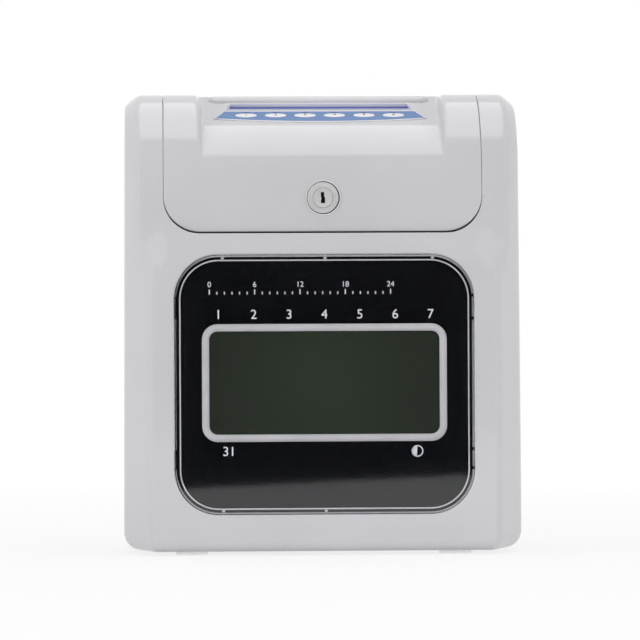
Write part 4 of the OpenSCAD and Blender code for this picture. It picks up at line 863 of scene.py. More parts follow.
def scoop_height(y):
    """A tight nose, a wide hollow that it runs into, and a straight ramp up to the top."""
    nose = NOSE_CZ + np.sqrt(np.clip(NOSE_R**2 - (y - NOSE_CY) ** 2, 0, None))
    basin = BASIN_CZ + np.sqrt(np.clip(BASIN_R**2 - (y - BASIN_CY) ** 2, 0, None))
    ramp = np.minimum(RAMP_Z + (y - RAMP_Y) * np.tan(RAMP), TOP_Z)
    return np.where(y < NOSE_CY - NOSE_R * np.sin(NOSE_TURN), nose, np.where(y < RAMP_Y, basin, ramp))


print("the ramp starts at depth", RAMP_Y, "and height", RAMP_Z)


# %% The door's skin
door_half = np.unique(np.round(np.concatenate([
    np.linspace(0, LINER_HIGH[0], 12), np.linspace(LINER_HIGH[0], DOOR_KNOTS[1] - 2, 6),
    np.linspace(DOOR_KNOTS[1] - 1.8, DOOR_KNOTS[2] + 2, 22),
    DOOR_KNOTS[3] - DOOR_R + DOOR_R * quarter,
    DOOR_KNOTS[3] - EDGE_R * (1 - np.sin(np.linspace(0, np.pi / 2, 9))),
]), 6))
DOOR_LINES = np.concatenate([-door_half[:0:-1], door_half])
door_weights = blend_weights(np.abs(DOOR_LINES), DOOR_KNOTS, DOOR_ARMS)
scoop_share = door_weights[:, :2].sum(axis=1)
door_x = np.sign(DOOR_LINES) * (door_weights @ DOOR_X_AT)


def edge_distance(x, z):
    """Distance in from the door's outline: to its straight sides, or to the arc within a lower corner."""
    across = np.abs(x) - (DOOR_X - DOOR_R)
    down = DOOR_CORNER_Z - z
    corner = DOOR_R - np.hypot(np.clip(across, 0, None), np.clip(down, 0, None))
    return np.where((across > 0) & (down > 0), corner, np.minimum(DOOR_R - across, DOOR_R - down))


ROLL_SHARE, CLIMB_START = 0.03, 0.06
roll_rows = ROLL_SHARE * (1 - np.cos(np.linspace(0, np.pi / 2, 9)))
climb = np.concatenate([roll_rows, np.linspace(CLIMB_START, 1, 16)])[:, None]
door_foot = corner_height(door_x, DOOR_X - DOOR_R, DOOR_LOW_Z, DOOR_R)
door_brow = main_top + scoop_share * (NOSE_CZ - main_top)
panel_z = door_foot + climb * (door_brow - door_foot)
panel_y = UPPER_Y + sagitta(EDGE_R - edge_distance(door_x, panel_z), EDGE_R)
panel = stack_points(door_x, panel_y, panel_z)

hood_lines = TOP_CY - TOP_R * np.cos(np.linspace(0, np.pi / 2, 34))
# rows along the card slot's edges, up to the card rest, under it and behind it
deep_lines = [LINER_LOW[1], LINER_HIGH[1], -5, 0, 3, 5.2, 6.4, 6.8, 9, 14, HINGE_Y]
hood_y = np.unique(np.concatenate([hood_lines, deep_lines]))[:, None]
side_drop = sagitta(EDGE_R - (DOOR_X - np.abs(door_x)), EDGE_R)
hood_normal_y = -np.clip((TOP_CY - hood_y) / TOP_R, 0, 1)
hood_normal_z = np.sqrt(1 - hood_normal_y**2)
hood_z = hood_height(hood_y) + scoop_share * (scoop_height(hood_y) - hood_height(hood_y))
hood = stack_points(door_x, hood_y - hood_normal_y * side_drop, hood_z - hood_normal_z * side_drop)

barrel_turn = np.linspace(np.pi / 2, -np.pi / 2, 19)[1:, None]
barrel_r = HINGE_R - side_drop
barrel_y = HINGE_Y + barrel_r * np.cos(barrel_turn)
barrel = stack_points(door_x, barrel_y, HINGE_Z + barrel_r * np.sin(barrel_turn))
TUCK = 3
tuck = np.array([[HINGE_Y - HINGE_R, HINGE_Z - HINGE_R], [HINGE_Y - HINGE_R, TOP_Z - TUCK]])
underside = stack_points(door_x, tuck[:, :1], tuck[:, 1:])
skin = np.concatenate([panel, hood[1:], barrel, underside])
print("door skin:", skin.shape)

# %% The door's rim
RIM_ROWS = 4
inward = np.zeros((len(skin), 2))
hood_end = len(panel) + len(hood) - 1
barrel_rows = slice(hood_end, hood_end + len(barrel))
inward[:len(panel)] = (1, 0)
inward[len(panel):hood_end] = np.hstack([-hood_normal_y, -hood_normal_z])[1:]
rim_depth = np.full(len(skin), RIM_D - EDGE_R)
inward[barrel_rows] = -np.hstack([np.cos(barrel_turn), np.sin(barrel_turn)])
rim_depth[barrel_rows] = HINGE_R - EDGE_R
rim_depth[(skin[:, 0, 1] > HINGE_Y - HINGE_R) & (inward[:, 1] < -0.99)] = 2 * HINGE_R - EDGE_R
side_rows = slice(0, barrel_rows.stop)


def rim(edge, direction, depth):
    """Carries the door's edge inwards along the direction, square to the hood."""
    step = (rows(RIM_ROWS) * depth)[..., None]
    return edge + step * np.column_stack([np.zeros(len(edge)), direction])


right_rim = rim(skin[side_rows, -1], inward[side_rows], rim_depth[side_rows])
left_rim = rim(skin[side_rows, 0], inward[side_rows], rim_depth[side_rows])[:, ::-1]
foot_rim = rim(panel[0], np.tile([1.0, 0.0], (len(door_x), 1)), np.full(len(door_x), RIM_D - EDGE_R))[:, ::-1]


# front and rear of the opening under the row of keys
KEY_ROW = (-22.6, -16.1)


def outside_openings(centre):
    """True for faces that are neither in the card slot nor in the opening under the row of keys."""
    along = np.abs(centre[:, 0]) < LINER_HIGH[0]
    slot = (centre[:, 1] > LINER_LOW[1]) & (centre[:, 1] < LINER_HIGH[1])
    keys = (centre[:, 1] > KEY_ROW[0]) & (centre[:, 1] < KEY_ROW[1])
    return ~(along & (slot | keys) & (centre[:, 2] > RAMP_Z))


door_mesh = grid_mesh("door_shell", [skin, right_rim[:, ::-1], left_rim[:, ::-1], foot_rim], outside_openings)
door = add_piece(door_mesh, SHELL, "door", ["door"])
thicken(door, WALL)
even_shading(door)

# %% [markdown]
# ## Card rest, keypad and keys
# Behind the slot a long rounded bar guides the card. In front of it lies a blue film with a pale outline,
# and six oval keys stand through it. An oval is a loop, so a key is that loop carried up a profile:
# straight sides, a rounded shoulder and a slight crown. They sit on the ramp, so each is made flat and
# then tilted onto it.

# %% Loops carried up a profile
def raised(loop, insets, heights):
    """Rings of a loop, drawn in by each inset at each height, and closed at the middle of both ends."""
    rings = [np.column_stack([offset_loop(loop, -d), np.full(len(loop), h)]) for d, h in zip(insets, heights)]
    middle = loop.mean(axis=0)
    caps = [np.tile([*middle, h], (len(loop), 1)) for h in (heights[0], heights[-1])]
    return close_loop(np.stack([caps[0], *rings, caps[1]]))


def on_ramp(points):
    """From the ramp's own frame, X across, Y up the slope and Z out of it, into the clock's frame."""
    x, y, z = points[..., 0], points[..., 1], points[..., 2]
    cos, sin = np.cos(RAMP), np.sin(RAMP)
    return stack_points(x, RAMP_Y + y * cos - z * sin, RAMP_Z + y * sin + z * cos)


def shoulder(radius, top, count=6):
    """Insets and heights of a quarter circle that ends level at the top."""
    angle = np.linspace(0, np.pi / 2, count)
    return radius * (1 - np.cos(angle)), top - radius * (1 - np.sin(angle))


RIDGE_X, RIDGE_D, RIDGE_R = 57.5, 13.5, 5.49
RIDGE_LOW, RIDGE_TOP, RIDGE_ROUND, RIDGE_FLAT = 226.2, TOP_Z - 0.1, 4.2, 4.8
RIDGE_MID = LINER_HIGH[1] + 0.6 + RIDGE_D / 2
ridge_loop = rounded_rectangle(0, RIDGE_MID, 2 * RIDGE_X, RIDGE_D, RIDGE_R, 9)
ridge_in, ridge_up = shoulder(RIDGE_ROUND, RIDGE_TOP, 12)
ridge = raised(ridge_loop, np.concatenate([[0], ridge_in, [RIDGE_FLAT]]),
               np.concatenate([[RIDGE_LOW], ridge_up, [RIDGE_TOP]]))
add_piece(grid_mesh("card_rest", [ridge]), SHELL, "door")

# %% Six keys with plain figures
KEYS, KEY_PITCH, KEY_W, KEY_D, KEY_MID = 6, 14.95, 11.3, 5.4, 8.9
KEY_LOW, KEY_TOP, KEY_CROWN, KEY_EDGE = -3.8, 0.8, 0.2, 0.4
KEY_FIGURE, KEY_INK = 3.2, 0.1
KEY_X = centred(KEYS, KEY_PITCH)


def ellipse_loop(x, y, width, depth, count=48):
    """An ellipse about (x, y): half the width times the cosine, half the depth times the sine."""
    angle = 2 * np.pi * np.arange(count) / count
    return np.column_stack([x + width / 2 * np.cos(angle), y + depth / 2 * np.sin(angle)])


def carried(mesh, place):
    """Moves a mesh by a function from its own points to the clock's frame, both in millimetres."""
    flat = np.empty(len(mesh.vertices) * 3)
    mesh.vertices.foreach_get("co", flat)
    mesh.vertices.foreach_set("co", (place(flat.reshape(-1, 3) / MM) * MM).ravel())
    mesh.update()
    return mesh


def words(name, text, size, thickness, place):
    """Figures as a flat mesh about the origin, carried by a function into the clock's frame."""
    curve = bpy.data.curves.new(name, "FONT")
    curve.body = text
    curve.size = size * MM
    curve.align_x = "CENTER"
    curve.align_y = "CENTER"
    curve.extrude = thickness * MM / 2
    return crisp(carried(drawn_mesh(name, curve), place))


key_in, key_up = shoulder(KEY_EDGE, KEY_TOP - KEY_CROWN)
key_insets = np.concatenate([[0], key_in, [0.8, 1.0]])
key_heights = np.concatenate([[KEY_LOW], key_up, [KEY_TOP - 0.08, KEY_TOP]])
for number, key_x in enumerate(KEY_X, 1):
    name = f"key_{number}"
    cap = raised(ellipse_loop(key_x, KEY_MID, KEY_W, KEY_D), key_insets, key_heights)
    add_piece(grid_mesh(f"{name}_cap", [on_ramp(cap)]), KEY_WHITE, name, [name])
    figure = words(f"{name}_figure", str(number), KEY_FIGURE, KEY_INK,
                   lambda p, x=key_x: on_ramp(p + [x, KEY_MID, KEY_TOP + 0.03]))
    add_piece(figure, PRINT_DARK, name)

# %% [markdown]
# The film's front edge bows like a shallow parabola and its rear corners are round, so its outline is
# drawn as one loop, with a hole for each key. It is filled flat and then tilted onto the ramp. The pale
# outline is a thin frame carried along that loop, and the dashes above the keys are small raised ovals.

# %% Keypad outline and the marks above the keys
FILM_FRONT, FILM_BACK, FILM_BOW, FILM_TOP = 4.7, 14.6, 4.3, 0.42
FILM_FRONT_W, FILM_BACK_W, FILM_R, FILM_GAP = 106.4, 98.6, 2, 0.5
bow_x = np.linspace(-FILM_FRONT_W / 2, FILM_FRONT_W / 2, 33)
bow = np.column_stack([bow_x, FILM_FRONT - FILM_BOW * (1 - (2 * bow_x / FILM_FRONT_W) ** 2)])
turn_back = np.linspace(0, np.pi / 2, 6)
corner_x = FILM_BACK_W / 2 - FILM_R + FILM_R * np.cos(turn_back)
corner = np.column_stack([corner_x, FILM_BACK - FILM_R + FILM_R * np.sin(turn_back)])
film = np.vstack([bow, corner, corner[::-1] * [-1, 1]])
film_holes = [ellipse_loop(x, KEY_MID, KEY_W + FILM_GAP, KEY_D + FILM_GAP) for x in KEY_X]
film_mesh = flat_plate("keypad_film", [film, *film_holes], FILM_TOP)
carried(film_mesh, lambda p: on_ramp(p + [0, 0, FILM_TOP / 2]))
add_piece(film_mesh, KEYPAD, "door", ["keypad_overlay"])
# section of the outline: how far out from the film's edge, and how high
FRAME_SECTION = ((-0.15, FILM_TOP + 0.04), (0.55, FILM_TOP + 0.04), (0.7, 0.02), (-0.15, 0.02))
outline = np.stack([np.column_stack([offset_loop(film, d), np.full(len(film), h)]) for d, h in FRAME_SECTION])
outline = np.concatenate([outline, outline[:1]])
border = grid_mesh("keypad_outline", [on_ramp(close_loop(outline))[::-1]])
add_piece(border, PRINT_WHITE, "door")
DASH_W, DASH_D, DASH_Y = 3.2, 0.8, FILM_BACK - 1.5
dash_heights = [FILM_TOP - 0.1, FILM_TOP + 0.06]
marks = [on_ramp(raised(oval_loop(x, DASH_Y, DASH_W, DASH_D), [0, 0], dash_heights)) for x in KEY_X]
add_piece(grid_mesh("keypad_marks", marks), PRINT_BLUE, "door")

# %% [markdown]
# ## The lock
# A small cam lock sits in the door: a plated rim with two turned steps, and a plug with a key slot. The
# rim is a profile carried round a circle. The plug's face is ruled between a circle and the outline of
# the key slot. Just below the face a near-black plate closes the slot: painted shade for the depth of a
# real key slot.

# %% Lock rim and plug
PLUG_LOW, PLUG_HIGH = node_box("lock_plug")
LOCK_Z = (PLUG_LOW[2] + PLUG_HIGH[2]) / 2
# radius and depth before the door, closed profiles of the outer collar and of the stepped rim inside it
COLLAR_PROFILE = np.array([
    [7.3, 0.1], [8.75, 0.05], [8.75, -0.5], [8.68, -0.7], [8.5, -0.82], [8.3, -0.7], [8.22, -0.5], [8.2, 0],
    [7.3, 0.02], [7.3, 0.1],
])
RIM_PROFILE = np.array([
    [7.3, 3], [7.3, 0], [7.85, 0], [7.78, -1.1], [7.7, -1.3], [7.55, -1.42], [7.35, -1.45], [6.7, -1.45],
    [6.58, -1.4], [6.48, -1.2], [6.35, -1.12], [5.3, -1.12], [5.08, -1.05], [5.08, 3], [7.3, 3],
])
# a near-black ring in the gap between them is painted shade, wider on the right, where the collar stands off
SHADE_RING_PROFILE = np.array([[7.6, 0], [8.4, 0], [8.4, -0.3], [7.6, -0.3], [7.6, 0]])
COLLAR_SHIFT = 0.16
around = np.linspace(0, 2 * np.pi, 73)


def lathe(profile, shift=0):
    """A profile of radius and depth carried round the lock's axis, or round one a little aside of it."""
    radius, depth = profile[:, :1], profile[:, 1:]
    return stack_points(shift + radius * np.cos(around), UPPER_Y + depth, LOCK_Z + radius * np.sin(around))


rim_mesh = grid_mesh("lock_rim", [lathe(RIM_PROFILE)])
lock_rim = add_piece(crisp(rim_mesh), LOCK, "door", ["lock_barrel"])
even_shading(lock_rim)
# the collar's near-white colour is a painted highlight round the lock
collar_mesh = crisp(grid_mesh("lock_collar", [lathe(COLLAR_PROFILE, COLLAR_SHIFT)]))
add_piece(collar_mesh, COLLAR_HIGHLIGHT, "door")
# painted shade in the gap round the lock
shade_ring_mesh = crisp(grid_mesh("lock_shade_ring", [lathe(SHADE_RING_PROFILE)]))
add_piece(shade_ring_mesh, KEYWAY_SHADE, "door")

KEYWAY_SHAPE = [
    (-1.0, -2.75), (1.05, -2.75), (1.05, 0.1), (0.6, 0.6), (0.6, 2.75), (-1.05, 2.75), (-1.05, 0.5),
    (-0.8, 0.1), (-0.8, -0.9), (-1.0, -1.2),
]
KEYWAY_R, KEYWAY_POINTS = 0.1, 144
PLUG_R, PLUG_FACE, PLUG_BACK, SLOT_SHADE_FACE = 4.95, -1.35, 4, -1.0
# radius and depth of the plug's outside, from its rear to the rounded rim of its face
PLUG_EDGE = ((PLUG_R, PLUG_BACK), (PLUG_R, PLUG_FACE + 0.3), (4.85, PLUG_FACE + 0.08), (4.6, PLUG_FACE))


def even_steps(loop, count):
    """The same closed loop with points at even steps along its length."""
    closed = np.vstack([loop, loop[:1]])
    length = np.concatenate([[0], np.cumsum(np.linalg.norm(np.diff(closed, axis=0), axis=1))])
    at = np.linspace(0, length[-1], count, endpoint=False)
    return np.column_stack([np.interp(at, length, closed[:, k]) for k in (0, 1)])


keyway_drawn = rounded_polygon(KEYWAY_SHAPE, [KEYWAY_R] * len(KEYWAY_SHAPE), 4)
slot_loop = even_steps(keyway_drawn, KEYWAY_POINTS)
slot_angle = np.arctan2(slot_loop[:, 1], slot_loop[:, 0])


def plug_ring(radius, depth):
    """A circle with one point for each point of the key slot."""
    return stack_points(radius * np.cos(slot_angle), UPPER_Y + depth, LOCK_Z + radius * np.sin(slot_angle))


def slot_ring(depth):
    """The outline of the key slot at a depth."""
    return stack_points(slot_loop[:, 0], UPPER_Y + depth, LOCK_Z + slot_loop[:, 1])


plug_outside = [plug_ring(radius, depth) for radius, depth in PLUG_EDGE]
plug = close_loop(np.stack([
    slot_ring(PLUG_BACK), *plug_outside, slot_ring(PLUG_FACE), slot_ring(PLUG_BACK),
]))
plug_mesh = crisp(grid_mesh("lock_plug_face", [plug]))
add_piece(plug_mesh, LOCK, "lock", ["lock_plug"])
# a near-black plate just below the plug's face is painted shade for the depth of the key slot
keyway_ends = [np.tile([0, UPPER_Y + y, LOCK_Z], (len(slot_loop), 1)) for y in (PLUG_BACK, SLOT_SHADE_FACE)]
keyway = close_loop(np.stack([keyway_ends[0], slot_ring(PLUG_BACK), slot_ring(SLOT_SHADE_FACE), keyway_ends[1]]))
add_piece(crisp(grid_mesh("lock_keyway_shade", [keyway])), KEYWAY_SHADE, "lock")

# %% [markdown]
# ## The display
# A clear window stands proud of the front. Behind it lies a black print with a grey outline round the
# display, and the print ends short of the window's edge, so a clear flange shows the pocket's pale floor.
# The window is a loop carried through its thickness with rounded front edges.

# %% Window, black print and grey outline
LENS_BACK = LENS_HIGH[1] - 0.2
LENS_W, LENS_H = LENS_HIGH[0] - LENS_LOW[0], LENS_HIGH[2] - LENS_LOW[2]
LENS_ROUND, LENS_FLAT, LENS_MIDDLE = 1.1, 1.2, 12
LOOP_STEPS = 16
PRINT_INSET = 3.2


def inset_loop(inset):
    """The window's outline, a rectangle with round corners, drawn in by an inset."""
    width, height = LENS_W - 2 * inset, LENS_H - 2 * inset
    return rounded_rectangle(0, LENS_MID[2], width, height, LENS_R - inset, LOOP_STEPS)


def standing(rings):
    """Rings drawn flat as X, Z and a depth, stood up in the clock's frame."""
    return np.stack([rings[..., 0], rings[..., 2], rings[..., 1]], axis=-1)


lens_loop = inset_loop(0)
lens_in, lens_out = shoulder(LENS_ROUND, -LENS_LOW[1], 7)
lens_insets = np.concatenate([[0], lens_in, [LENS_FLAT, LENS_MIDDLE]])
lens_depths = -np.concatenate([[-LENS_BACK], lens_out, [-LENS_LOW[1]] * 2])
lens_rings = standing(raised(lens_loop, lens_insets, lens_depths))
lens_mesh = flat_front(grid_mesh("display_window", [lens_rings]))
lens = add_piece(lens_mesh, LENS.material, "root", ["display_lens"])
lens.visible_shadow = False


def ring_plate(outer, inner, front, back):
    """A flat ring between two loops of equal count, from a front depth to a back depth."""
    def at(loop, depth):
        return stack_points(loop[:, 0], depth, loop[:, 1])

    rings = [at(inner, front), at(inner, back), at(outer, back), at(outer, front), at(inner, front)]
    return close_loop(np.stack(rings))


MASK_FRONT, MASK_BACK = LENS_HIGH[1], LENS_HIGH[1] + 0.35
print_loop = inset_loop(PRINT_INSET)
BORDER_W, BORDER_H, BORDER_R, BORDER_T, BORDER_Z = 121.6, 58.4, 7.8, 3.6, 85.85


def border_loop(inset):
    """The outer edge of the display's grey outline, drawn in by an inset."""
    width, height = BORDER_W - 2 * inset, BORDER_H - 2 * inset
    return rounded_rectangle(0, BORDER_Z, width, height, BORDER_R - inset, LOOP_STEPS)


border_outer, border_inner = border_loop(0), border_loop(BORDER_T)
mask = ring_plate(print_loop, border_outer, MASK_FRONT, MASK_BACK)
add_piece(grid_mesh("panel_print", [mask]), PANEL, "root", ["display_mask"])
line = ring_plate(border_outer, border_inner, MASK_FRONT, MASK_BACK)
add_piece(grid_mesh("display_outline", [line]), PRINT_GREY, "root")

# %% [markdown]
# Round the print the window's edge shows a bright line, a painted highlight where its rounded front edge
# catches the light, and a dark line outside it, painted shade of its side wall; small clips stand at the
# sides and tabs above and below. The lines are flat rings between two of the window's own outlines, so
# they keep an even width round the corners. The clips and tabs are small bars just behind the glass.

# %% Edge lines and clips of the window
# insets of the painted highlight and the painted shade round the window's edge
HIGHLIGHT_INSET, SHADE_INSET = 2.5, 1.15
TAB_R, TAB_PROUD = 0.2, 0.05


def tab(x, z, width, height):
    """A small flat bar behind the window."""
    loop = rounded_rectangle(x, z, width, height, TAB_R, 4)
    return standing(raised(loop, [0, 0], [MASK_BACK, MASK_FRONT - TAB_PROUD]))


# painted highlight: a grey ring for the light on the window's rounded front edge
bright = ring_plate(inset_loop(HIGHLIGHT_INSET), print_loop, MASK_FRONT, MASK_BACK)
add_piece(grid_mesh("window_painted_highlight", [bright]), PRINT_GREY, "root")
# painted shade: a black ring for the window's side wall, joined by the dark clip bars
shade = ring_plate(inset_loop(SHADE_INSET), inset_loop(HIGHLIGHT_INSET), MASK_FRONT, MASK_BACK)
CLIP_SPANS = ((117.5, 128.9), (43.3, 52.7))
CLIP_X, CLIP_W, CLIP_END = LENS_HIGH[0] - 0.65, 1.0, 1.5
clips = []
for low, high in CLIP_SPANS:
    clips.append(tab(-CLIP_X, (low + high) / 2, CLIP_W, high - low))
    clips += [tab(CLIP_X, z, CLIP_W, CLIP_END) for z in (low, high)]
add_piece(grid_mesh("window_painted_shade", [shade, *clips]), PANEL, "root")
TAB_W, TAB_H, TAB_INSET = 1.5, 1.1, 1.8
TOP_TABS, LOW_TABS = (-50.4, 0.5, 53.9), (-50.4, 0.5)
tabs = [tab(x, LENS_HIGH[2] - TAB_INSET, TAB_W, TAB_H) for x in TOP_TABS]
tabs += [tab(x, LENS_LOW[2] + TAB_INSET, TAB_W, TAB_H) for x in LOW_TABS]
add_piece(grid_mesh("window_tabs", tabs), PRINT_GREY, "root")

# %% [markdown]
# The print carries plain figures: 1 to 7 over the display, a scale of 24 hours above them, the number 31
# and a half-filled disc below. Blender's own text gives the figures their curves. It is made a mesh, so
# that it can be carried to its place on the print.

# %% Figures on the print
FIGURE_Y, INK = MASK_FRONT - 0.04, 0.06
INK_BACK, INK_FRONT = FIGURE_Y + INK / 2, FIGURE_Y - INK / 2
BIG_FIGURE, SMALL_FIGURE = 6.6, 3.8


def panel_figure(name, text, size, x, z):
    """White figures at a place on the print, facing the front."""
    mesh = words(name, text, size, INK, lambda p: stack_points(p[:, 0] + x, FIGURE_Y - p[:, 2], p[:, 1] + z))
    add_piece(mesh, PRINT_WHITE, "root")


def inked(loop):
    """A loop as a thin raised layer of ink on the print."""
    return standing(raised(loop, [0, 0], [INK_BACK, INK_FRONT]))


DAY_X, DAY_Z = np.linspace(-52.6, 52.8, 7), 119.6
for i, x in enumerate(DAY_X, 1):
    panel_figure(f"day_figure_{i}", str(i), BIG_FIGURE, x, DAY_Z)
HOURS, HOUR_STEP = 24, 6
HOUR_X, HOUR_Z, HOUR_RISE = np.linspace(-57, 33, HOURS + 1), 132.6, 2.0
TICK_FOOT, TICK_W, TICK_TALL, TICK_SHORT = HOUR_Z - 2.9, 0.55, 2.6, 1.5
ticks = []
for hour, x in enumerate(HOUR_X):
    tall = TICK_SHORT if hour % HOUR_STEP else TICK_TALL
    ticks.append(inked(oval_loop(x, TICK_FOOT + tall / 2, TICK_W, tall)))
add_piece(grid_mesh("hour_scale", ticks), PRINT_WHITE, "root")
for hour in range(0, HOURS + 1, HOUR_STEP):
    panel_figure(f"hour_figure_{hour}", str(hour), SMALL_FIGURE, HOUR_X[hour], HOUR_Z + HOUR_RISE)
LOWER_Z, MONTH_X = 51.7, -47.5
panel_figure("month_figure", "31", BIG_FIGURE, MONTH_X, LOWER_Z)
TONE_X, TONE_R, TONE_LINE = 46, 2.9, 0.55
tone_edge = [circle_loop(TONE_X, LOWER_Z, r) for r in (TONE_R, TONE_R - TONE_LINE)]
tone_half = circle_loop(TONE_X, LOWER_Z, TONE_R - TONE_LINE / 2, np.pi / 2, np.pi, 24)
tone = [ring_plate(*tone_edge, INK_FRONT, INK_BACK), inked(tone_half)]
add_piece(grid_mesh("tone_mark", tone), PRINT_WHITE, "root")

# %% [markdown]
# ## Everything the door hides
# The mechanism keeps its solids: their shapes are right, so they only need finishes. Each node's material
# slot is filled by the part it plays.

# %% Finishes of the solids
WORN = [
    (FOOT_RUBBER, ["rubber_feet"]),
    (SHAFT, ["case_screws", "inner_screws", "hinge_pins", "guide_rods", "idler_post", "motor_pulley",
             "feed_shaft", "pinch_shaft"]),
    (STEEL, ["left_side_plate", "right_side_plate", "cross_plate", "card_guide_front", "card_guide_rear",
             "platen_bar", "carriage_motor", "feed_motor", "ribbon_deck", "lock_cam"]),
    (BRASS, ["shaft_bushes", "feed_pinion"]),
    (BLACK, ["lcd_frame", "board_chips", "buzzer", "dc_inlet", "card_sensor", "ribbon_cartridge",
             "ribbon_cover", "print_head"]),
    (RUBBER, ["platen_pad", "drive_belt", "feed_rollers", "pinch_rollers"]),
    (NYLON, ["head_carriage", "idler_pulley", "feed_gear"]),
    (BOARD, ["main_board", "key_board"]),
    (DISPLAY, ["lcd_glass"]),
    (CELL, ["battery_pack"]),
    (RIBBON, ["ink_ribbon"]),
    (KEY_WHITE, ["ribbon_knob"]),
    (LINER_PAINTED_LIGHT, ["slot_liner"]),
    (LOCK, ["lock_nut"]),
]
finished = [(name, material) for material, names in WORN for name in names]
for name, material in finished:
    NODES[name].data.materials.clear()
    NODES[name].data.materials.append(material)
plain = sorted(n for n, o in NODES.items() if not o.hide_render and n not in dict(finished))
print("solids with a finish:", len(finished), "left plain:", plain)

# %% [markdown]
# ## Floor, light and camera
# The photograph was taken on a white sweep with large soft lights, and the room behind the camera was
# dark: that is why the black window stays black. The floor and the world are white to the camera and to
# reflections. A tall dark screen behind the camera is seen in reflections only, and the table ends a
# little in front of the clock, where the window mirrors its edge.

# %% Stage
def stage_plane(name, corners, material):
    """One flat face of the stage."""
    mesh = bpy.data.meshes.new(name)
    mesh.from_pydata(corners, [], [range(len(corners))])
    mesh.materials.append(material)
    plane = bpy.data.objects.new(name, mesh)
    bpy.context.scene.collection.objects.link(plane)
    return plane


def seen_directly(tree):
    """1 for camera, glossy and transmission rays."""
    path = tree.nodes.new("ShaderNodeLightPath")
    total = None
    for output in ("Is Camera Ray", "Is Glossy Ray", "Is Transmission Ray"):
        if total is None:
            total = path.outputs[output]
            continue
        pick = tree.nodes.new("ShaderNodeMath")
        pick.operation = "MAXIMUM"
        tree.links.new(total, pick.inputs[0])
        tree.links.new(path.outputs[output], pick.inputs[1])
        total = pick.outputs[0]
    return total


def pale_floor():
    """A pale floor that shows as plain white, but for the metre round the clock, which keeps its shadow."""
    material = bpy.data.materials.new("pale_floor")
    material.use_nodes = True
    tree = material.node_tree
    shader = tree.nodes["Principled BSDF"]
    shader.inputs["Base Color"].default_value = (0.95, 0.95, 0.95, 1)
    shader.inputs["Roughness"].default_value = 0.9
    white = tree.nodes.new("ShaderNodeEmission")
    mix = tree.nodes.new("ShaderNodeMixShader")
    near = tree.nodes.new("ShaderNodeTexGradient")
    near.gradient_type = "SPHERICAL"
    place = tree.nodes.new("ShaderNodeTexCoord").outputs["Object"]
    tree.links.new(place, near.inputs["Vector"])
    plain = tree.nodes.new("ShaderNodeMapRange")
    plain.inputs["To Min"].default_value = 1.0
    plain.inputs["To Max"].default_value = 0.8
    tree.links.new(near.outputs["Fac"], plain.inputs["Value"])
    share = tree.nodes.new("ShaderNodeMath")
    share.operation = "MULTIPLY"
    tree.links.new(plain.outputs["Result"], share.inputs[1])
    tree.links.new(seen_directly(tree), share.inputs[0])
    tree.links.new(share.outputs[0], mix.inputs["Fac"])
    tree.links.new(shader.outputs["BSDF"], mix.inputs[1])
    tree.links.new(white.outputs["Emission"], mix.inputs[2])
    tree.links.new(mix.outputs["Shader"], tree.nodes["Material Output"].inputs["Surface"])
    return material


TABLE_LEFT, TABLE_RIGHT = (-0.6, -0.41, 0), (0.6, -1.98, 0)
FLOOR_SIDE, FLOOR_FAR = 4, 5
floor_corners = [
    (-FLOOR_SIDE, TABLE_LEFT[1], 0), TABLE_LEFT, TABLE_RIGHT, (FLOOR_SIDE, TABLE_RIGHT[1], 0),
    (FLOOR_SIDE, FLOOR_FAR, 0), (-FLOOR_SIDE, FLOOR_FAR, 0),
]
stage_plane("floor", floor_corners, pale_floor())
dark = Finish("dark_room", Roughness=1.0)
dark_stops = [(0.3, (0.004, 0.004, 0.005, 1)), (0.7, (0.006, 0.006, 0.007, 1))]
dark.to("Base Color", dark.ramp(dark.noise(2), dark_stops))
SCREEN_Y = -2.6
SCREEN_X, SCREEN_LOW, SCREEN_HIGH = 2.2, -1.4, 4.3
screen = stage_plane("dark_screen", [
    (-SCREEN_X, SCREEN_Y, SCREEN_LOW), (SCREEN_X, SCREEN_Y, SCREEN_LOW),
    (SCREEN_X, SCREEN_Y, SCREEN_HIGH), (-SCREEN_X, SCREEN_Y, SCREEN_HIGH),
], dark.material)
screen.visible_camera = False
screen.visible_diffuse = False
print("floor and dark screen ready")

# %% World
AMBIENT = 0.35
world = bpy.data.worlds.new("studio")
bpy.context.scene.world = world
world.use_nodes = True
tree = world.node_tree
ambient = tree.nodes["Background"]
ambient.inputs["Color"].default_value = (1, 1, 1, 1)
ambient.inputs["Strength"].default_value = AMBIENT
white = tree.nodes.new("ShaderNodeBackground")
white.inputs["Color"].default_value = (1, 1, 1, 1)
mix = tree.nodes.new("ShaderNodeMixShader")
tree.links.new(seen_directly(tree), mix.inputs["Fac"])
tree.links.new(ambient.outputs[0], mix.inputs[1])
tree.links.new(white.outputs[0], mix.inputs[2])
tree.links.new(mix.outputs[0], tree.nodes["World Output"].inputs["Surface"])
print("ambient light", AMBIENT)

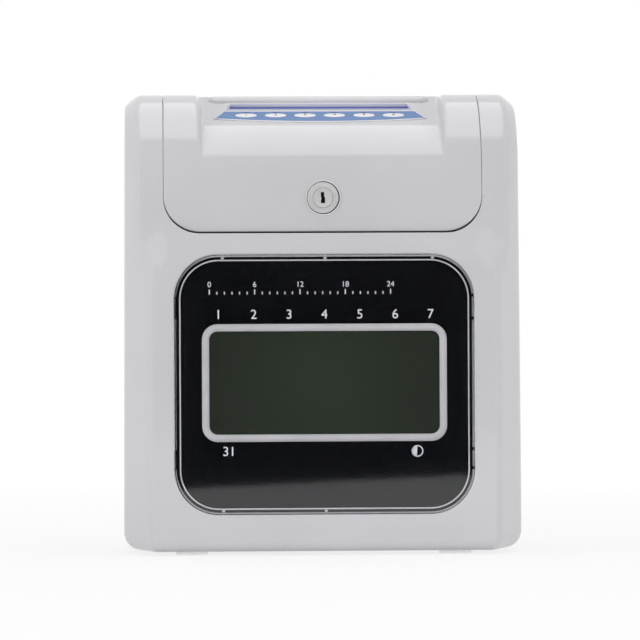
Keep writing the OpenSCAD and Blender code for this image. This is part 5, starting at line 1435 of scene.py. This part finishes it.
# %% [markdown]
# Large soft boxes give pale plastic its even tone. Small lamps would do the same work, but each would
# leave a hard spot in the gloss. One box hangs overhead and is the only lamp that reflections show. Two
# stand at the sides and two lie low, to lift the foot of the casing, and these four light the clock
# without being mirrored in it.

# %% Lamps
def softbox(name, place, target, width, height, watts, shape="RECTANGLE"):
    """An area lamp turned to its target."""
    light = bpy.data.lights.new(name, "AREA")
    light.shape = shape
    light.size, light.size_y = width, height
    light.energy = watts
    lamp = bpy.data.objects.new(name, light)
    bpy.context.scene.collection.objects.link(lamp)
    lamp.location = place
    lamp.rotation_euler = (Vector(target) - Vector(place)).to_track_quat("-Z", "Y").to_euler()
    lamp.visible_camera = False
    return lamp


softbox("top_box", (0, 0.1, 1.3), (0, 0.1, 0), 1.3, 1.5, 6.9, "ELLIPSE")
fills = [
    softbox("left_box", (-1.2, -1.0, 0.42), (0, -0.05, 0.1), 0.7, 1.0, 7.6),
    softbox("right_box", (1.2, -1.0, 0.42), (0, -0.05, 0.1), 0.7, 1.0, 6.0),
    softbox("low_left_box", (-0.62, -0.62, 0.06), (0, -0.06, 0.02), 0.5, 0.1, 0.35),
    softbox("low_right_box", (0.62, -0.62, 0.06), (0, -0.06, 0.02), 0.5, 0.1, 0.35),
]
for lamp in fills:
    lamp.visible_glossy = False
print("lamps:", 1 + len(fills))

# %% [markdown]
# The camera stands where the photograph was taken from: about two metres away, a little to the left of
# the clock and just below its middle, with a long lens. Its place, its turn and its focal length were
# solved from the outline of the casing, because a shift of a few pixels shows at once on a shape with so
# many straight edges.

# %% Camera
CAMERA_AT = (-84.4, -2172.5, 101.3)
FOCAL_PX, FRAME_PX, SENSOR = 4253, 640, 36
YAW, PITCH, ROLL = 2.232, 0.424, 0.282
data = bpy.data.cameras.new("camera")
data.sensor_width = SENSOR
data.lens = FOCAL_PX / FRAME_PX * SENSOR
camera = bpy.data.objects.new("camera", data)
bpy.context.scene.collection.objects.link(camera)
camera.location = [v * MM for v in CAMERA_AT]
camera.rotation_euler = (math.radians(90 + PITCH), math.radians(ROLL), math.radians(-YAW))
bpy.context.scene.camera = camera
bpy.context.scene.view_settings.view_transform = "Standard"
print("camera turned", YAW, "and tipped up", PITCH, "degrees")
